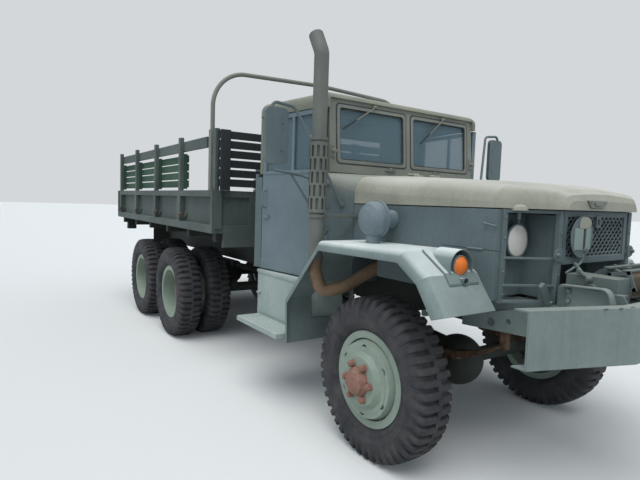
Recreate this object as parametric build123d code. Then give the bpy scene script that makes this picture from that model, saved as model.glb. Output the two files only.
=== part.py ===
from build123d import *
import math
import os

# Six-wheel military cargo truck: cab with hardtop, drop-side height cargo bed with racks, front winch.
# Millimetres. While it is drawn, X runs forward from the front axle, Y to the left, Z up from the ground.
# Every piece is moved forward by front_axle_x when it is written, so that X = 0 is mid-length.

# Overall sizes
overall_length = 7062
front_overhang = 1283
front_axle_x = overall_length / 2 - front_overhang
rear_end_x = front_overhang - overall_length
wheelbase = 3912
bogie_spread = 1219
skin = 5
gap = 6

# Tyres and wheels
tyre_radius = 505
tyre_half_width = 128
tread_half_width = 100
bead_radius = 262
rim_radius = 296
rim_half_width = 95
rim_flange = 8
disc_thickness = 10
disc_offset = 165
disc_face_radius = 150
hand_hole_radius = 24
hand_hole_circle = 196
hand_holes = 6
hub_radius = 88
hub_flange_radius = 125
hub_flange = 24
spindle_radius = 55
lug_nut_circle = 111
lug_nuts = 6
drum_radius = 205
hub_length = 62
rear_hub_length = 190
tread_grooves = 30
groove_width = 34
groove_centre_radius = 497
groove_shoulder_radius = 444
front_tyre_y = 870
dual_centre_y = 900
axle_z = tyre_radius

# Frame
rail_outer_y = 420
rail_flange = 65
rail_wall = 8
rail_bottom_z = 870
rail_top_z = 1073
rail_front_x = 1010
rail_rear_x = rear_end_x + 130
crossmember_bottom_z = rail_top_z - 110
crossmember_width = 60
engine_bottom_z = 900
engine_top_z = 1470
engine_half = 235
extension_rear_x = 257
extension_thickness = 10
shackle_x = 758
shackle_foot = 22
spring_y = 395
engine_mount_xs = (420, -300)
transfer_x = -1810
gearbox_front_x = -430

# Exhaust
stack_x = -510
stack_y = 1035
stack_foot_z = 1190
stack_radius = 50
stack_bend_z = 2560
shield_bottom_z = 1506
shield_top_z = 1972
shield_radius = 63
shield_wall = 3
shield_rows = 5
shield_slots = 10
pipe_radius = 44

# Front axle and steering
kingpin_y = 715
knuckle_ball_radius = 92
knuckle_gap = 6
knuckle_wall = 16
axle_tube_radius = 52
steering_arm_length = 230
tie_rod_z = axle_z - 70
tie_rod_radius = 16

# Cab
cab_rear_x = -1600
cab_rear_half = 950
door_rear_x = -1500
door_front_x = -742
door_front_half = 850
cowl_front_x = -545
cowl_front_half = 692
sill_bottom_z = 1002
floor_z = 1108
floor_thickness = 30
belt_z = 1800
door_bottom_z = sill_bottom_z
door_top_z = 2262
wall = 30
door_thickness = 38
windshield_half = 790
windshield_x = -722
windshield_lean = 40
windshield_thickness = 40
windshield_top_z = 2345
roof_rail_z = 2270
roof_z = 2392
roof_corner = 75
gutter = 12
pane_bottom_z = 1876
pane_top_z = 2306
pane_inner_y = 32
pane_outer_y = 720
rear_window_half = 430
rear_window_z = (1950, 2190)
hinge_radius = 9
hinge_leaf = 5
hinge_x = door_front_x + 4
hinge_y = door_front_half + 10
hinges_z = ((1165, 1210, 1290, 1335), (1535, 1580, 1660, 1705))
door_crease_z = 1085
mirror_x = -800
mirror_reach = 390
mirror_bottom_z = 1833
mirror_top_z = 2223
wheel_rim_radius = 205
seat_y = 470
seat_half = 215

# Hood and nose
hood_rear_x = -535
hood_pin_z = 1812
hood_leaf = (60, 120)
cowl_leaf = (125, 180)
hood_edge_z = 1576
panel_outer_y = 698
panel_bottom_z = 1090
pipe_notch = (-260, 1200)
nose_x = 862
nose_half = 345
nose_corner_x = 662
recess_x = 600
grille_x = 823
grille_thickness = 26
grille_border = 34
grille_columns = 14
grille_rows = 11
grille_bar = 3.5
grille_bottom_z = 1284
guard_bottom_z = rail_top_z + 2
guard_inner_y = 375
guard_outer_y = 640
guard_outer_x = 676
guard_post = 34
guard_depth = 26
guard_bars_z = (1165, 1310)
headlamp_x = 651
headlamp_y = 495
headlamp_z = 1402
headlamp_radius = 96
signal_x = 560
signal_y = 845
signal_z = 1268
signal_guard_radius = 88
winch_rear_x = 850
winch_front_x = 1170
winch_x = 1010
winch_z = 1180
winch_top_z = 1250
winch_half = 412

# Front fenders
fender_outer_y = 1112
fender_inner_y = 700
fender_top_z = 1335
fender_lip = 62
fender_round = 55

# Bumper
bumper_bottom_z = 900
bumper_top_z = 1155
bumper_half = 1040
bumper_centre_half = 500
bumper_end_x = 1095
bumper_flange = 70
bumper_wall = 8

# Cargo bed
bed_front_x = -1952
bed_rear_x = rear_end_x + 35
bed_half = 1204
bed_inner_half = 1118
bed_bottom_z = 1262
bed_floor_z = 1305
bed_side_z = 1654
bed_cap_half = 1186
bed_panel = 12
bed_front_drop = 130
bed_beams = 6
bed_beam_depth = 80
first_beam_x = bed_front_x - 90
last_beam_x = bed_rear_x + 127
rail_cap = 60
bed_rib = 90
ring_radius = 34
ring_z = 1400
stakes = 5
stake_first_x = bed_front_x - 78
stake_last_x = bed_rear_x + 54
stake_pitch = (stake_first_x - stake_last_x) / (stakes - 1)
stake_width = 62
stake_depth = 40
stake_y = 1160
stake_top_z = 2205
board_thickness = 22
slats = 4
slat_height = 74
slat_pitch = 88
first_slat_z = 1690
rack_board_z = 2060
rack_front_x = stake_first_x - 240
seat_inner_y = 1080
front_boards = 6
bow_radius = 20
bow_top_z = 2775
bow_corner = 330

# Rear lamps and towing gear
tail_lamp_y = 1020
pintle_z = 950
pintle_eye = 26

# Fuel tank
tank_front_x = cab_rear_x - 100
tank_rear_x = -wheelbase + bogie_spread / 2 + tyre_radius + 237.5
tank_strap = 160
tank_bottom_z = 560
tank_top_z = 940
tank_width = 440
tank_corner = 90

# Side boxes and steps
box_front_x = -822
box_rear_x = -1510
box_face_y = 955
box_inner_y = 560
box_bottom_z = 605
box_top_z = 990
step_outer_y = 1150
step_thickness = 38


def block(xs, ys, zs):
    """Box between pairs of limits."""
    size = [abs(p[1] - p[0]) for p in (xs, ys, zs)]
    middle = [(p[1] + p[0]) / 2 for p in (xs, ys, zs)]
    return Pos(*middle) * Box(*size)


def mirrored(piece):
    """The same piece on the other side of the truck."""
    return mirror(piece, about=Plane.XZ)


def both_sides(piece):
    """A right-hand piece with its left-hand twin, as separate solids."""
    return Compound(children=solids_of(piece) + solids_of(mirrored(piece)))


def solids_of(piece):
    return [Solid(s.wrapped) for s in piece.solids()]


def group(*pieces):
    """Separate solids kept together as one piece of the truck."""
    found = []
    for piece in pieces:
        found += solids_of(piece)
    return Compound(children=found)


def prism_y(points, y0, y1):
    """Side-view outline (x, z) carried across from y0 to y1."""
    face = Plane.XZ * make_face(Polyline(*[(x, z) for x, z in points], close=True))
    return Pos(0, max(y0, y1), 0) * extrude(face, amount=abs(y1 - y0), dir=(0, -1, 0))


def prism_z(points, z0, z1):
    """Plan outline (x, y) carried up from z0 to z1."""
    face = make_face(Polyline(*points, close=True))
    return Pos(0, 0, z0) * extrude(face, amount=z1 - z0)


def prism_x(points, x0, x1):
    """Cross-section outline (y, z) carried forward from x0 to x1."""
    face = Plane.YZ * make_face(Polyline(*points, close=True))
    return Pos(x0, 0, 0) * extrude(face, amount=x1 - x0, dir=(1, 0, 0))


def rod(start, end, radius):
    """Round bar between two points."""
    direction = Vector(*end) - Vector(*start)
    return Plane(origin=start, z_dir=direction) * extrude(Circle(radius), amount=direction.length)


def bent_tube(points, radius, bends):
    """Round tube along straight runs with a bend radius at each corner."""
    path = FilletPolyline(*points, radius=bends)
    first = Vector(*points[1]) - Vector(*points[0])
    return sweep(Plane(origin=points[0], z_dir=first) * Circle(radius), path=path)


def turned_x(points, y, z):
    """Section (x, radius) turned about an axis along the truck at y, z."""
    face = make_face(Polyline(*points, close=True))
    return Pos(0, y, z) * revolve(face, axis=Axis.X, revolution_arc=360)


def disc_y(x, z, y0, y1, radius):
    """Round disc or pin across the truck."""
    return rod((x, min(y0, y1), z), (x, max(y0, y1), z), radius)


def turned_y(points, x, z):
    """Section (y, radius) turned about an axis across the truck at x, z."""
    face = Plane.XY * make_face(Polyline(*[(r, y) for y, r in points], close=True))
    solid = revolve(face, axis=Axis.Y, revolution_arc=360)
    return Pos(x, 0, z) * solid


def write(name, piece):
    """One file for each node, moved so that X = 0 is mid-length."""
    moved = Pos(front_axle_x, 0, 0) * piece
    export_step(moved, f"parts/{name}.step")


def frame_rails():
    """Two channel rails open inwards, joined by crossmembers, with shackle brackets near the front."""
    channel = [
        (-rail_outer_y, rail_bottom_z),
        (-rail_outer_y + rail_flange, rail_bottom_z),
        (-rail_outer_y + rail_flange, rail_bottom_z + rail_wall),
        (-rail_outer_y + rail_wall, rail_bottom_z + rail_wall),
        (-rail_outer_y + rail_wall, rail_top_z - rail_wall),
        (-rail_outer_y + rail_flange, rail_top_z - rail_wall),
        (-rail_outer_y + rail_flange, rail_top_z),
        (-rail_outer_y, rail_top_z),
    ]
    rail = prism_x(channel, rail_rear_x, rail_front_x)
    bracket = [
        (shackle_x - shackle_foot, rail_top_z),
        (shackle_x + shackle_foot, rail_top_z),
        (shackle_x + 14, rail_top_z + 60),
        (shackle_x - 20, rail_top_z + 66),
    ]
    rail += prism_y(bracket, -rail_outer_y + 14, -rail_outer_y + 34)
    frame = rail + mirrored(rail)
    web = rail_outer_y - rail_wall
    half = crossmember_width / 2
    for x in (rail_front_x - 80, 660, -1300, transfer_x, -2900, -wheelbase, rail_rear_x + half):
        frame += block((x - half, x + half), (-web, web), (crossmember_bottom_z, rail_top_z - 10))
    for x in engine_mount_xs:
        frame += block((x - half, x + half), (-web, web), (rail_bottom_z, engine_bottom_z))
    return frame


def front_bumper():
    """Swept channel bumper on drilled extension plates bolted to the rails."""
    def strip(depth):
        outer = [
            (bumper_end_x, -bumper_half),
            (front_overhang, -bumper_centre_half),
            (front_overhang, bumper_centre_half),
            (bumper_end_x, bumper_half),
        ]
        inner = [(x - depth, y) for x, y in reversed(outer)]
        return outer + inner

    bumper = prism_z(strip(bumper_wall), bumper_bottom_z, bumper_top_z)
    bumper += prism_z(strip(bumper_flange), bumper_bottom_z, bumper_bottom_z + bumper_wall)
    bumper += prism_z(strip(bumper_flange), bumper_top_z - bumper_wall, bumper_top_z)
    inner_x = front_overhang - bumper_wall
    outline = [
        (extension_rear_x, rail_bottom_z - 25),
        (extension_rear_x, rail_bottom_z + 35),
        (extension_rear_x + 420, rail_top_z - 45),
        (rail_front_x, rail_top_z),
        (inner_x, rail_top_z),
        (inner_x, bumper_bottom_z),
        (extension_rear_x + 420, rail_bottom_z),
    ]
    plate = prism_y(outline, -rail_outer_y - extension_thickness, -rail_outer_y)
    for x, z, radius in ((467, 906, 25), (583, 932, 15)):
        plate -= disc_y(x, z, -rail_outer_y - 20, -rail_outer_y + 5, radius)
    plate += block(
        (rail_front_x, inner_x),
        (-rail_outer_y, -rail_outer_y + rail_flange),
        (rail_top_z - 14, rail_top_z),
    )
    return bumper + plate + mirrored(plate)


def winch():
    """Drum, gear case and clutch lever between two flanged side plates on the frame horns."""
    seat_z = rail_top_z
    side = [
        (winch_rear_x, seat_z),
        (winch_front_x + 70, seat_z),
        (winch_front_x, winch_z),
        (winch_rear_x, winch_z),
    ]
    plate = prism_y(side, -winch_half, -winch_half + 12)
    plate += block(
        (winch_rear_x, winch_front_x),
        (-winch_half, -winch_half + 50),
        (winch_z - 12, winch_z),
    )
    plate += block((winch_rear_x, winch_rear_x + 12), (-winch_half, -winch_half + 50), (seat_z, winch_z))
    made = plate + mirrored(plate)
    made += disc_y(winch_x, winch_z, -winch_half + 5, winch_half - 5, 34)
    made += disc_y(winch_x, winch_z, -215, 195, 58)
    for y in (-215, 175):
        made += disc_y(winch_x, winch_z, y, y + 20, 105)
    for y0, y1 in ((-winch_half + 20, -250), (230, winch_half - 20)):
        made += block((winch_rear_x + 30, winch_front_x - 40), (y0, y1), (winch_z - 70, winch_top_z))
    made += rod(
        (winch_x - 60, -winch_half + 60, winch_top_z - 5),
        (winch_x - 110, -winch_half + 50, winch_top_z + 55),
        9,
    )
    return made


def engine_block():
    """Plain block where the engine stands, on its own crossmembers."""
    return block((gearbox_front_x, 560), (-engine_half, engine_half), (engine_bottom_z, engine_top_z))


def diamond_mesh(width, height):
    """Flat mesh with rows of diamond openings, every second row shifted by half a pitch."""
    y = width / 2 + 3
    z = height / 2 + 3
    outer = Wire.make_polygon([(-y, -z), (y, -z), (y, z), (-y, z)])
    pitch_y = width / grille_columns
    pitch_z = height / grille_rows * 2
    openings = []
    for row in range(grille_rows):
        shift = (row % 2) * 0.5
        for column in range(grille_columns - row % 2):
            y = -width / 2 + pitch_y * (column + 0.5 + shift)
            z = -height / 2 + pitch_z / 2 * (row + 0.5)
            a = pitch_y / 2 - grille_bar
            b = min(pitch_z / 2 - grille_bar, height / 2 - abs(z) - 1)
            openings.append(Wire.make_polygon([(y - a, z), (y, z - b), (y + a, z), (y, z + b)]))
    return Face(outer, openings)


def radiator_grille():
    """Framed diamond mesh in front of the radiator, with the catch plate of the hood."""
    back_x = grille_x - grille_thickness
    frame = block((back_x, grille_x), (-nose_half, nose_half), (grille_bottom_z, hood_edge_z - 4))
    frame -= block(
        (back_x - 1, grille_x + 1),
        (-nose_half + grille_border, nose_half - grille_border),
        (grille_bottom_z + grille_border, hood_edge_z - grille_border),
    )
    mesh = diamond_mesh(
        2 * (nose_half - grille_border),
        hood_edge_z - grille_bottom_z - 2 * grille_border,
    )
    middle_z = (hood_edge_z + grille_bottom_z) / 2
    mesh = Plane(
        origin=(grille_x - 16, 0, middle_z),
        x_dir=(0, 1, 0),
        z_dir=(1, 0, 0),
    ) * extrude(mesh, amount=8)
    catch = block(
        (grille_x - 16, grille_x + 6),
        (-24, 24),
        (hood_edge_z - 95, hood_edge_z - grille_border + 6),
    )
    catch -= block((grille_x - 4, grille_x + 8), (-11, 11), (hood_edge_z - 80, hood_edge_z - 48))
    return frame + mesh + catch


def brush_guards():
    """Swept-back guard frames over the headlamps, posts and bars in one piece on each side."""
    half = guard_post / 2
    inner = (grille_x + 4, -guard_inner_y)
    outer = (guard_outer_x, -guard_outer_y)
    top_z = hood_edge_z - 4

    def flat(z0, z1, depth):
        return prism_z([inner, outer, (outer[0] - depth, outer[1]), (inner[0] - depth, inner[1])], z0, z1)

    guard = flat(top_z - 18, top_z, guard_depth)
    guard += flat(guard_bottom_z, guard_bottom_z + 16, guard_depth)
    for z in guard_bars_z:
        guard += flat(z, z + 12, 12)
    for x, y in (inner, outer):
        guard += block((x - guard_depth, x), (y - half, y + half), (guard_bottom_z, top_z))
    boss = inner[0] - guard_depth / 2
    guard += rod(
        (boss, inner[1] - half, guard_bars_z[1] + 20),
        (boss, inner[1] + half + 8, guard_bars_z[1] + 20),
        12,
    )
    return both_sides(guard)


def headlamps():
    """Round lamps behind the guards, each with a stem up to the guard's top bar."""
    r = headlamp_radius
    deep = recess_x - headlamp_x
    section = [
        (18, 0),
        (12, r * 0.6),
        (0, r - 14),
        (6, r - 6),
        (0, r),
        (-28, r - 8),
        (deep + 2, r - 36),
        (deep, r - 50),
        (deep, 0),
    ]
    lamp = turned_x([(headlamp_x + x, radius) for x, radius in section], -headlamp_y, headlamp_z)
    stem_y = headlamp_y + 35
    share = (stem_y - guard_inner_y) / (guard_outer_y - guard_inner_y)
    bar_x = grille_x + 4 - share * (grille_x + 4 - guard_outer_x) - guard_depth / 2
    lamp += rod(
        (headlamp_x - 15, -headlamp_y, headlamp_z + r - 12),
        (bar_x, -stem_y, hood_edge_z - 28),
        6,
    )
    return both_sides(lamp)


def signal_lamps():
    """Turn signals in bell-shaped guards that stand on the sloping front of the fenders."""
    r = signal_guard_radius
    x0 = signal_x - 130
    x1 = signal_x + 15
    y = -signal_y
    z = signal_z
    guard = block((x0, x1), (y - r, y + r), (z - 200, z)) + rod((x0, y, z), (x1, y, z), r)
    guard -= block((x0 - 1, x1 + 1), (y - r + skin, y + r - skin), (z - 201, z))
    guard -= rod((x0 - 1, y, z), (x1 + 1, y, z), r - skin)
    plate = [(400, 1300), (signal_x, 1195), (600, 1140), (600, 1184), (signal_x + 8, 1236), (400, 1345)]
    guard += prism_y(plate, y - r - 26, y + r + 26)
    lamp = turned_x([(x1 + 12, 0), (x1 + 4, 38), (x1 - 14, 50), (x1 - 46, 44), (x1 - 52, 0)], y, z)
    guard += lamp
    guard += block((x1 - 4, x1 + 24), (y - 30, y + 30), (z - 92, z - 60))
    fender = Plane.XZ * fender_outline(0, 0)
    guard -= Pos(0, -fender_inner_y + 60, 0) * extrude(fender, amount=fender_outer_y, dir=(0, -1, 0))
    return both_sides(guard)


def fender_outline(inset, drop):
    """Side outline of a front fender, pulled in by inset; drop lowers its open ends."""
    points = [
        (-790, 541 - drop),
        (-812, 870),
        (-395, 1325),
        (390, 1335),
        (560, 1225),
        (690 + drop * 0.7, 1043 - drop),
    ]
    face = make_face(Polyline(*points, close=True))
    if inset:
        face = offset(face, amount=-inset, kind=Kind.INTERSECTION)
    return face


def front_fenders():
    """Flat-topped fenders with a rounded outer edge, open below and inside."""
    def solid(inset, drop, y_outer, y_inner, rounding):
        face = Plane.XZ * fender_outline(inset, drop)
        made = Pos(0, -y_inner, 0) * extrude(face, amount=y_outer - y_inner, dir=(0, -1, 0))
        if rounding:
            edges = made.edges().filter_by(lambda e: abs(e.center().Y + y_outer) < 1)
            made = fillet(edges.sort_by(SortBy.LENGTH)[:-1], rounding)
        return made

    outer = solid(0, 0, fender_outer_y, fender_inner_y, fender_round)
    hollow = solid(skin, 60, fender_outer_y - skin, fender_inner_y - 40, fender_round - skin)
    arch = solid(fender_lip, 90, fender_outer_y + 40, fender_inner_y + 20, 0)
    fender = outer - hollow - arch
    fender -= prism_z(cab_plan(-4), fender_inner_y, belt_z)
    fender -= rod(
        (stack_x, -stack_y, stack_foot_z - 100),
        (stack_x, -stack_y, stack_foot_z + 200),
        stack_radius + gap,
    )
    return fender


def hood_sides():
    """Fixed panels between hood and fenders, their front flanges and the recess behind each guard."""
    top_z = hood_edge_z - gap
    outline = [
        (hood_rear_x, pipe_notch[1]),
        (pipe_notch[0], pipe_notch[1]),
        (pipe_notch[0], panel_bottom_z),
        (nose_corner_x, panel_bottom_z),
        (nose_corner_x, top_z),
        (hood_rear_x, top_z),
    ]
    made = prism_y(outline, -panel_outer_y, -panel_outer_y + skin)
    zs = (panel_bottom_z, top_z)
    made += block(
        (nose_corner_x - skin, nose_corner_x),
        (-panel_outer_y, -guard_outer_y - guard_post / 2),
        zs,
    )
    inner = -guard_inner_y + guard_post / 2
    made += block((recess_x - skin, recess_x), (-panel_outer_y, inner), zs)
    made += block((recess_x - skin, grille_x + 4 - guard_depth), (inner - skin, inner), zs)
    return both_sides(made)


def arched_face(x, half, base_z, top_z, corner, crown):
    """Cross-section with upright sides, rounded corners and a slightly crowned top."""
    shoulder = top_z - crown
    spring = shoulder - corner
    turn = (half - 0.25 * corner, shoulder - 0.4 * corner)
    meet = (half - 1.25 * corner, shoulder + 2)
    outline = [
        Line((half, base_z), (-half, base_z)),
        Line((-half, base_z), (-half, spring)),
        ThreePointArc((-half, spring), (-turn[0], turn[1]), (-meet[0], meet[1])),
        ThreePointArc((-meet[0], meet[1]), (0, top_z), meet),
        ThreePointArc(meet, turn, (half, spring)),
        Line((half, spring), (half, base_z)),
    ]
    return Plane(origin=(x, 0, 0), x_dir=(0, 1, 0), z_dir=(1, 0, 0)) * make_face(outline)


def hood_form(inset, drop):
    """Hood volume from the cowl to the nose, which narrows and rolls down at its front."""
    # x, half-width, top z, corner radius, crown
    table = [
        (hood_rear_x, 700, 1800, 110, 30),
        (300, 702, 1752, 100, 30),
        (nose_corner_x - 17, 694, 1726, 92, 28),
        (800, 470, 1694, 70, 20),
        (846, 400, 1668, 60, 16),
        (nose_x, 372, 1630, 40, 8),
    ]
    sections = []
    for x, half, top_z, corner, crown in table:
        back = inset * 5 if x == hood_rear_x else inset
        sections.append(arched_face(x - back, half - inset, hood_edge_z - drop, top_z - inset, corner, crown))
    return loft(sections, ruled=True)


def hood():
    """Lifting hood top, a pressed shell open below, with its halves of the hinges."""
    shell = hood_form(0, 0) - hood_form(skin, 40)
    for y0, y1 in (hood_leaf, (-hood_leaf[1], -hood_leaf[0])):
        shell += block((cowl_front_x + 4, hood_rear_x + 40), (y0, y1), (hood_pin_z - 22, hood_pin_z - 3))
        shell += disc_y(cowl_front_x, hood_pin_z, y0, y1, hinge_radius)
    return shell


def cab_plan(inset):
    """Plan outline of the cab at the doors, half-widths narrowing forward."""
    return [
        (cab_rear_x + inset, -cab_rear_half + inset),
        (door_front_x, -door_front_half + inset),
        (cowl_front_x, -cowl_front_half + inset),
        (cowl_front_x, cowl_front_half - inset),
        (door_front_x, door_front_half - inset),
        (cab_rear_x + inset, cab_rear_half - inset),
    ]


def cab_half(x):
    """Half-width of the cab at the doors, which tapers forward."""
    taper = (cab_rear_half - door_front_half) / (door_front_x - cab_rear_x)
    return door_front_half + taper * (door_front_x - x)


def door_opening(z0, z1):
    """Space that the right door fills, with its gap all round."""
    x0 = door_rear_x - gap
    x1 = door_front_x + gap
    inner = door_thickness + gap
    return prism_z(
        [(x0, -1200), (x1, -1200), (x1, -cab_half(x1) + inner), (x0, -cab_half(x0) + inner)],
        z0,
        z1,
    )


def on_cowl(piece):
    """Place a piece drawn along X = forward, -Y = outwards on the right cowl side."""
    angle = math.degrees(math.atan2(door_front_half - cowl_front_half, cowl_front_x - door_front_x))
    return Pos(door_front_x, -door_front_half, 0) * Rot(0, 0, angle) * piece


def cab_body():
    """Floor, back wall, corner posts, cowl, firewall, instrument panel and hinge halves."""
    tail = [
        (cab_rear_x, -cab_rear_half),
        (door_front_x, -door_front_half),
        (door_front_x, door_front_half),
        (cab_rear_x, cab_rear_half),
    ]
    inside = [
        (cab_rear_x + wall, -cab_rear_half + wall),
        (door_front_x, -door_front_half + wall),
        (cowl_front_x - wall, -cowl_front_half + wall),
        (cowl_front_x - wall, cowl_front_half - wall),
        (door_front_x, door_front_half - wall),
        (cab_rear_x + wall, cab_rear_half - wall),
    ]
    shell = prism_z(tail, sill_bottom_z, belt_z)
    shell += loft([
        arched_face(door_front_x, door_front_half, sill_bottom_z, belt_z, 60, 6),
        arched_face(cowl_front_x, cowl_front_half, sill_bottom_z, belt_z, 110, 30),
    ], ruled=True)
    shell -= prism_z(inside[:2] + inside[4:], floor_z, belt_z - 22)
    shell -= loft([
        arched_face(door_front_x - 1, door_front_half - wall, floor_z, belt_z - 22, 50, 6),
        arched_face(cowl_front_x - wall, cowl_front_half - wall, floor_z, belt_z - 22, 95, 30),
    ], ruled=True)
    shell -= prism_z(inside, sill_bottom_z - 10, floor_z - floor_thickness)
    shell -= block((cab_rear_x + wall, door_front_x - 80), (-1000, 1000), (belt_z - 30, belt_z + 30))
    over_frame = (cab_rear_x - 10, cowl_front_x + 10), (-rail_outer_y - 30, rail_outer_y + 30)
    shell -= block(*over_frame, (sill_bottom_z - 10, rail_top_z + gap - 1))
    opening = door_opening(sill_bottom_z - 10, belt_z + 10)
    shell -= opening
    shell -= mirrored(opening)
    hinges = None
    for low, door_low, door_high, high in hinges_z:
        for z0, z1 in ((low, door_low - 5), (door_high + 5, high)):
            half = on_cowl(block((1, 66), (-hinge_leaf, 1), (z0, z1)))
            half += rod((hinge_x, -hinge_y, z0), (hinge_x, -hinge_y, z1), hinge_radius)
            hinges = half if hinges is None else hinges + half
    shell += hinges
    shell += mirrored(hinges)
    for y0, y1 in (cowl_leaf, (-cowl_leaf[1], -cowl_leaf[0])):
        shell += block((cowl_front_x - 40, cowl_front_x + 3), (y0, y1), (hood_pin_z - 30, hood_pin_z - 3))
        shell += disc_y(cowl_front_x, hood_pin_z, y0, y1, hinge_radius)
    panel_half = door_front_half - 110
    outline = [(-880, 1640), (-800, 1560), (-760, 1560), (-760, belt_z - 21), (-860, belt_z - 21)]
    return shell + prism_y(outline, -panel_half, panel_half)


def windshield_frame():
    """Nearly upright two-pane frame on the cowl."""
    foot_x = windshield_x
    head_x = windshield_x - windshield_lean
    thick = windshield_thickness
    outline = [
        (foot_x, belt_z),
        (foot_x - thick, belt_z),
        (head_x - thick, windshield_top_z),
        (head_x, windshield_top_z),
    ]
    frame = prism_y(outline, -windshield_half, windshield_half)
    for side in (-1, 1):
        opening = (side * pane_inner_y, side * pane_outer_y)
        frame -= block((head_x - 100, foot_x + 100), opening, (pane_bottom_z, pane_top_z))
    return frame


def pane(y0, y1):
    """One flat windshield pane in the plane of its frame."""
    low_x = windshield_x - 20
    high_x = low_x - windshield_lean + 6
    outline = [
        (low_x, pane_bottom_z + 1),
        (low_x - 6, pane_bottom_z + 1),
        (high_x - 6, pane_top_z - 1),
        (high_x, pane_top_z - 1),
    ]
    return prism_y(outline, y0, y1)


def cab_glass():
    """Windshield panes and the rear window."""
    inner = pane_inner_y + 1
    outer = pane_outer_y - 1
    right = pane(-outer, -inner)
    left = pane(inner, outer)
    half = rear_window_half - 1
    zs = (rear_window_z[0] + 1, rear_window_z[1] - 1)
    rear = block((cab_rear_x + 12, cab_rear_x + 18), (-half, half), zs)
    return group(right, left, rear)


def hardtop():
    """Roof shell with its back panel, rear window opening and rain gutters."""
    front_x = door_front_x + 4
    front_half = windshield_half + 34

    def form(inset):
        x0 = cab_rear_x + inset
        x1 = front_x - inset
        plan = [
            (x0, -cab_rear_half + inset),
            (x1, -front_half + inset),
            (x1, front_half - inset),
            (x0, cab_rear_half - inset),
        ]
        made = prism_z(plan, belt_z + (0 if inset == 0 else -20), roof_z - inset)
        sides = made.edges().filter_by(Axis.Z).group_by(Axis.X)[0]
        made = fillet(sides, roof_corner - inset)
        top = made.faces().sort_by(Axis.Z)[-1].edges()
        return fillet(top, roof_corner - inset)

    shell = form(0) - form(wall)
    shell -= block((door_rear_x - gap, -600), (-1100, 1100), (belt_z - 50, roof_rail_z))
    shell -= block((-830, -600), (-windshield_half, windshield_half), (belt_z - 50, windshield_top_z))
    half = rear_window_half
    shell -= block((cab_rear_x - 10, cab_rear_x + wall + 10), (-half, half), rear_window_z)
    rear_x = cab_rear_x + roof_corner
    rear_half = cab_rear_half - (cab_rear_half - front_half) * roof_corner / (front_x - cab_rear_x)
    strip = [
        (rear_x, -rear_half + 2),
        (front_x - 20, -front_half),
        (front_x - 20, -front_half - gutter),
        (rear_x, -rear_half - gutter),
    ]
    rail = prism_z(strip, roof_rail_z + 2, roof_rail_z + 10)
    return shell + rail + mirrored(rail)


def door_plane_point(u):
    """Point on the right door's outer face, u back from its front edge."""
    dx = door_rear_x - door_front_x
    dy = cab_half(door_front_x) - cab_half(door_rear_x)
    length = math.hypot(dx, dy)
    return dx / length * u, dy / length * u, length


def on_door(piece):
    """Place a piece drawn along X = back, Y = inwards on the right door plane."""
    ux, uy, length = door_plane_point(1)
    angle = math.degrees(math.atan2(uy, ux))
    return Pos(door_front_x, -door_front_half, 0) * Rot(0, 0, angle) * piece


def door():
    """Right door: pressed skin, window frame with its division bar, hinge halves, grab loop and handle."""
    length = door_plane_point(1)[2] - gap
    window_z = (belt_z + 20, door_top_z - 32)
    made = block((gap, length), (-door_thickness, 0), (door_bottom_z, door_top_z))
    made -= block((gap + 50, length - 45), (-door_thickness - 5, 5), window_z)
    made -= block((gap + 40, length - 40), (-door_thickness - 5, -12), (door_bottom_z + 120, belt_z - 60))
    made += block((335, 365), (-14, 0), window_z)
    made += block((gap, length), (-1, 5), (door_bottom_z, door_crease_z))
    made += block((gap, length), (-1, 4), (belt_z - 7, belt_z + 8))
    grip = bent_tube([(700, -1, 1520), (700, 38, 1520), (700, 38, 1660), (700, -1, 1660)], 7, 18)
    made += grip
    made += block((640, 720), (12, 22), (1432, 1450)) + rod((712, -1, 1441), (712, 20, 1441), 11)
    for low, door_low, door_high, high in hinges_z:
        made += block((0, 55), (-1, hinge_leaf), (door_low, door_high))
    made = on_door(made)
    for low, door_low, door_high, high in hinges_z:
        made += rod((hinge_x, -hinge_y, door_low), (hinge_x, -hinge_y, door_high), hinge_radius)
    return made


def door_glass():
    length = door_plane_point(1)[2] - gap
    return on_door(block((gap + 51, length - 46), (-22, -16), (belt_z + 21, door_top_z - 33)))


def seat_frames():
    """Seat stands on the cab floor, each with four legs, a pan and a back plate."""
    stands = []
    pan_z = floor_z + 240
    for y in (-seat_y, seat_y):
        half = seat_half - 25
        stand = block((-1440, -1020), (y - half, y + half), (pan_z, pan_z + 22))
        for x in (-1395, -1060):
            for leg_y in (y - half, y + half - 25):
                stand += block((x, x + 25), (leg_y, leg_y + 25), (floor_z, pan_z + 5))
        stand += block((-1440, -1424), (y - half, y + half), (pan_z, floor_z + 640))
        stands.append(stand)
    return group(*stands)


def seat_cushions():
    """Seat and back cushions, driver's and passenger's."""
    found = []
    for y in (-seat_y, seat_y):
        found.append(block((-1400, -1012), (y - seat_half, y + seat_half), (floor_z + 262.5, floor_z + 372)))
        found.append(block((-1423.5, -1340), (y - seat_half, y + seat_half), (floor_z + 380, floor_z + 760)))
    return group(*found)


def steering_wheel():
    """Column and wheel in front of the driver."""
    y = seat_y
    top = (-1090, y, floor_z + 616)
    foot = (-800, y, floor_z + 20)
    column = rod(foot, top, 20) + rod((foot[0], y, floor_z), (foot[0], y, floor_z + 45), 42)
    direction = Vector(*top) - Vector(*foot)
    plane = Plane(origin=top, z_dir=direction)
    rim = plane * Torus(wheel_rim_radius, 13)
    spokes = None
    for angle in (0, 120, 240):
        spoke = plane * (Rot(0, 0, angle) * Pos(wheel_rim_radius / 2, 0, 0) * Box(wheel_rim_radius, 22, 12))
        spokes = spoke if spokes is None else spokes + spoke
    hub = plane * Pos(0, 0, -8) * Cylinder(40, 34)
    return column + rim + spokes + hub


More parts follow.
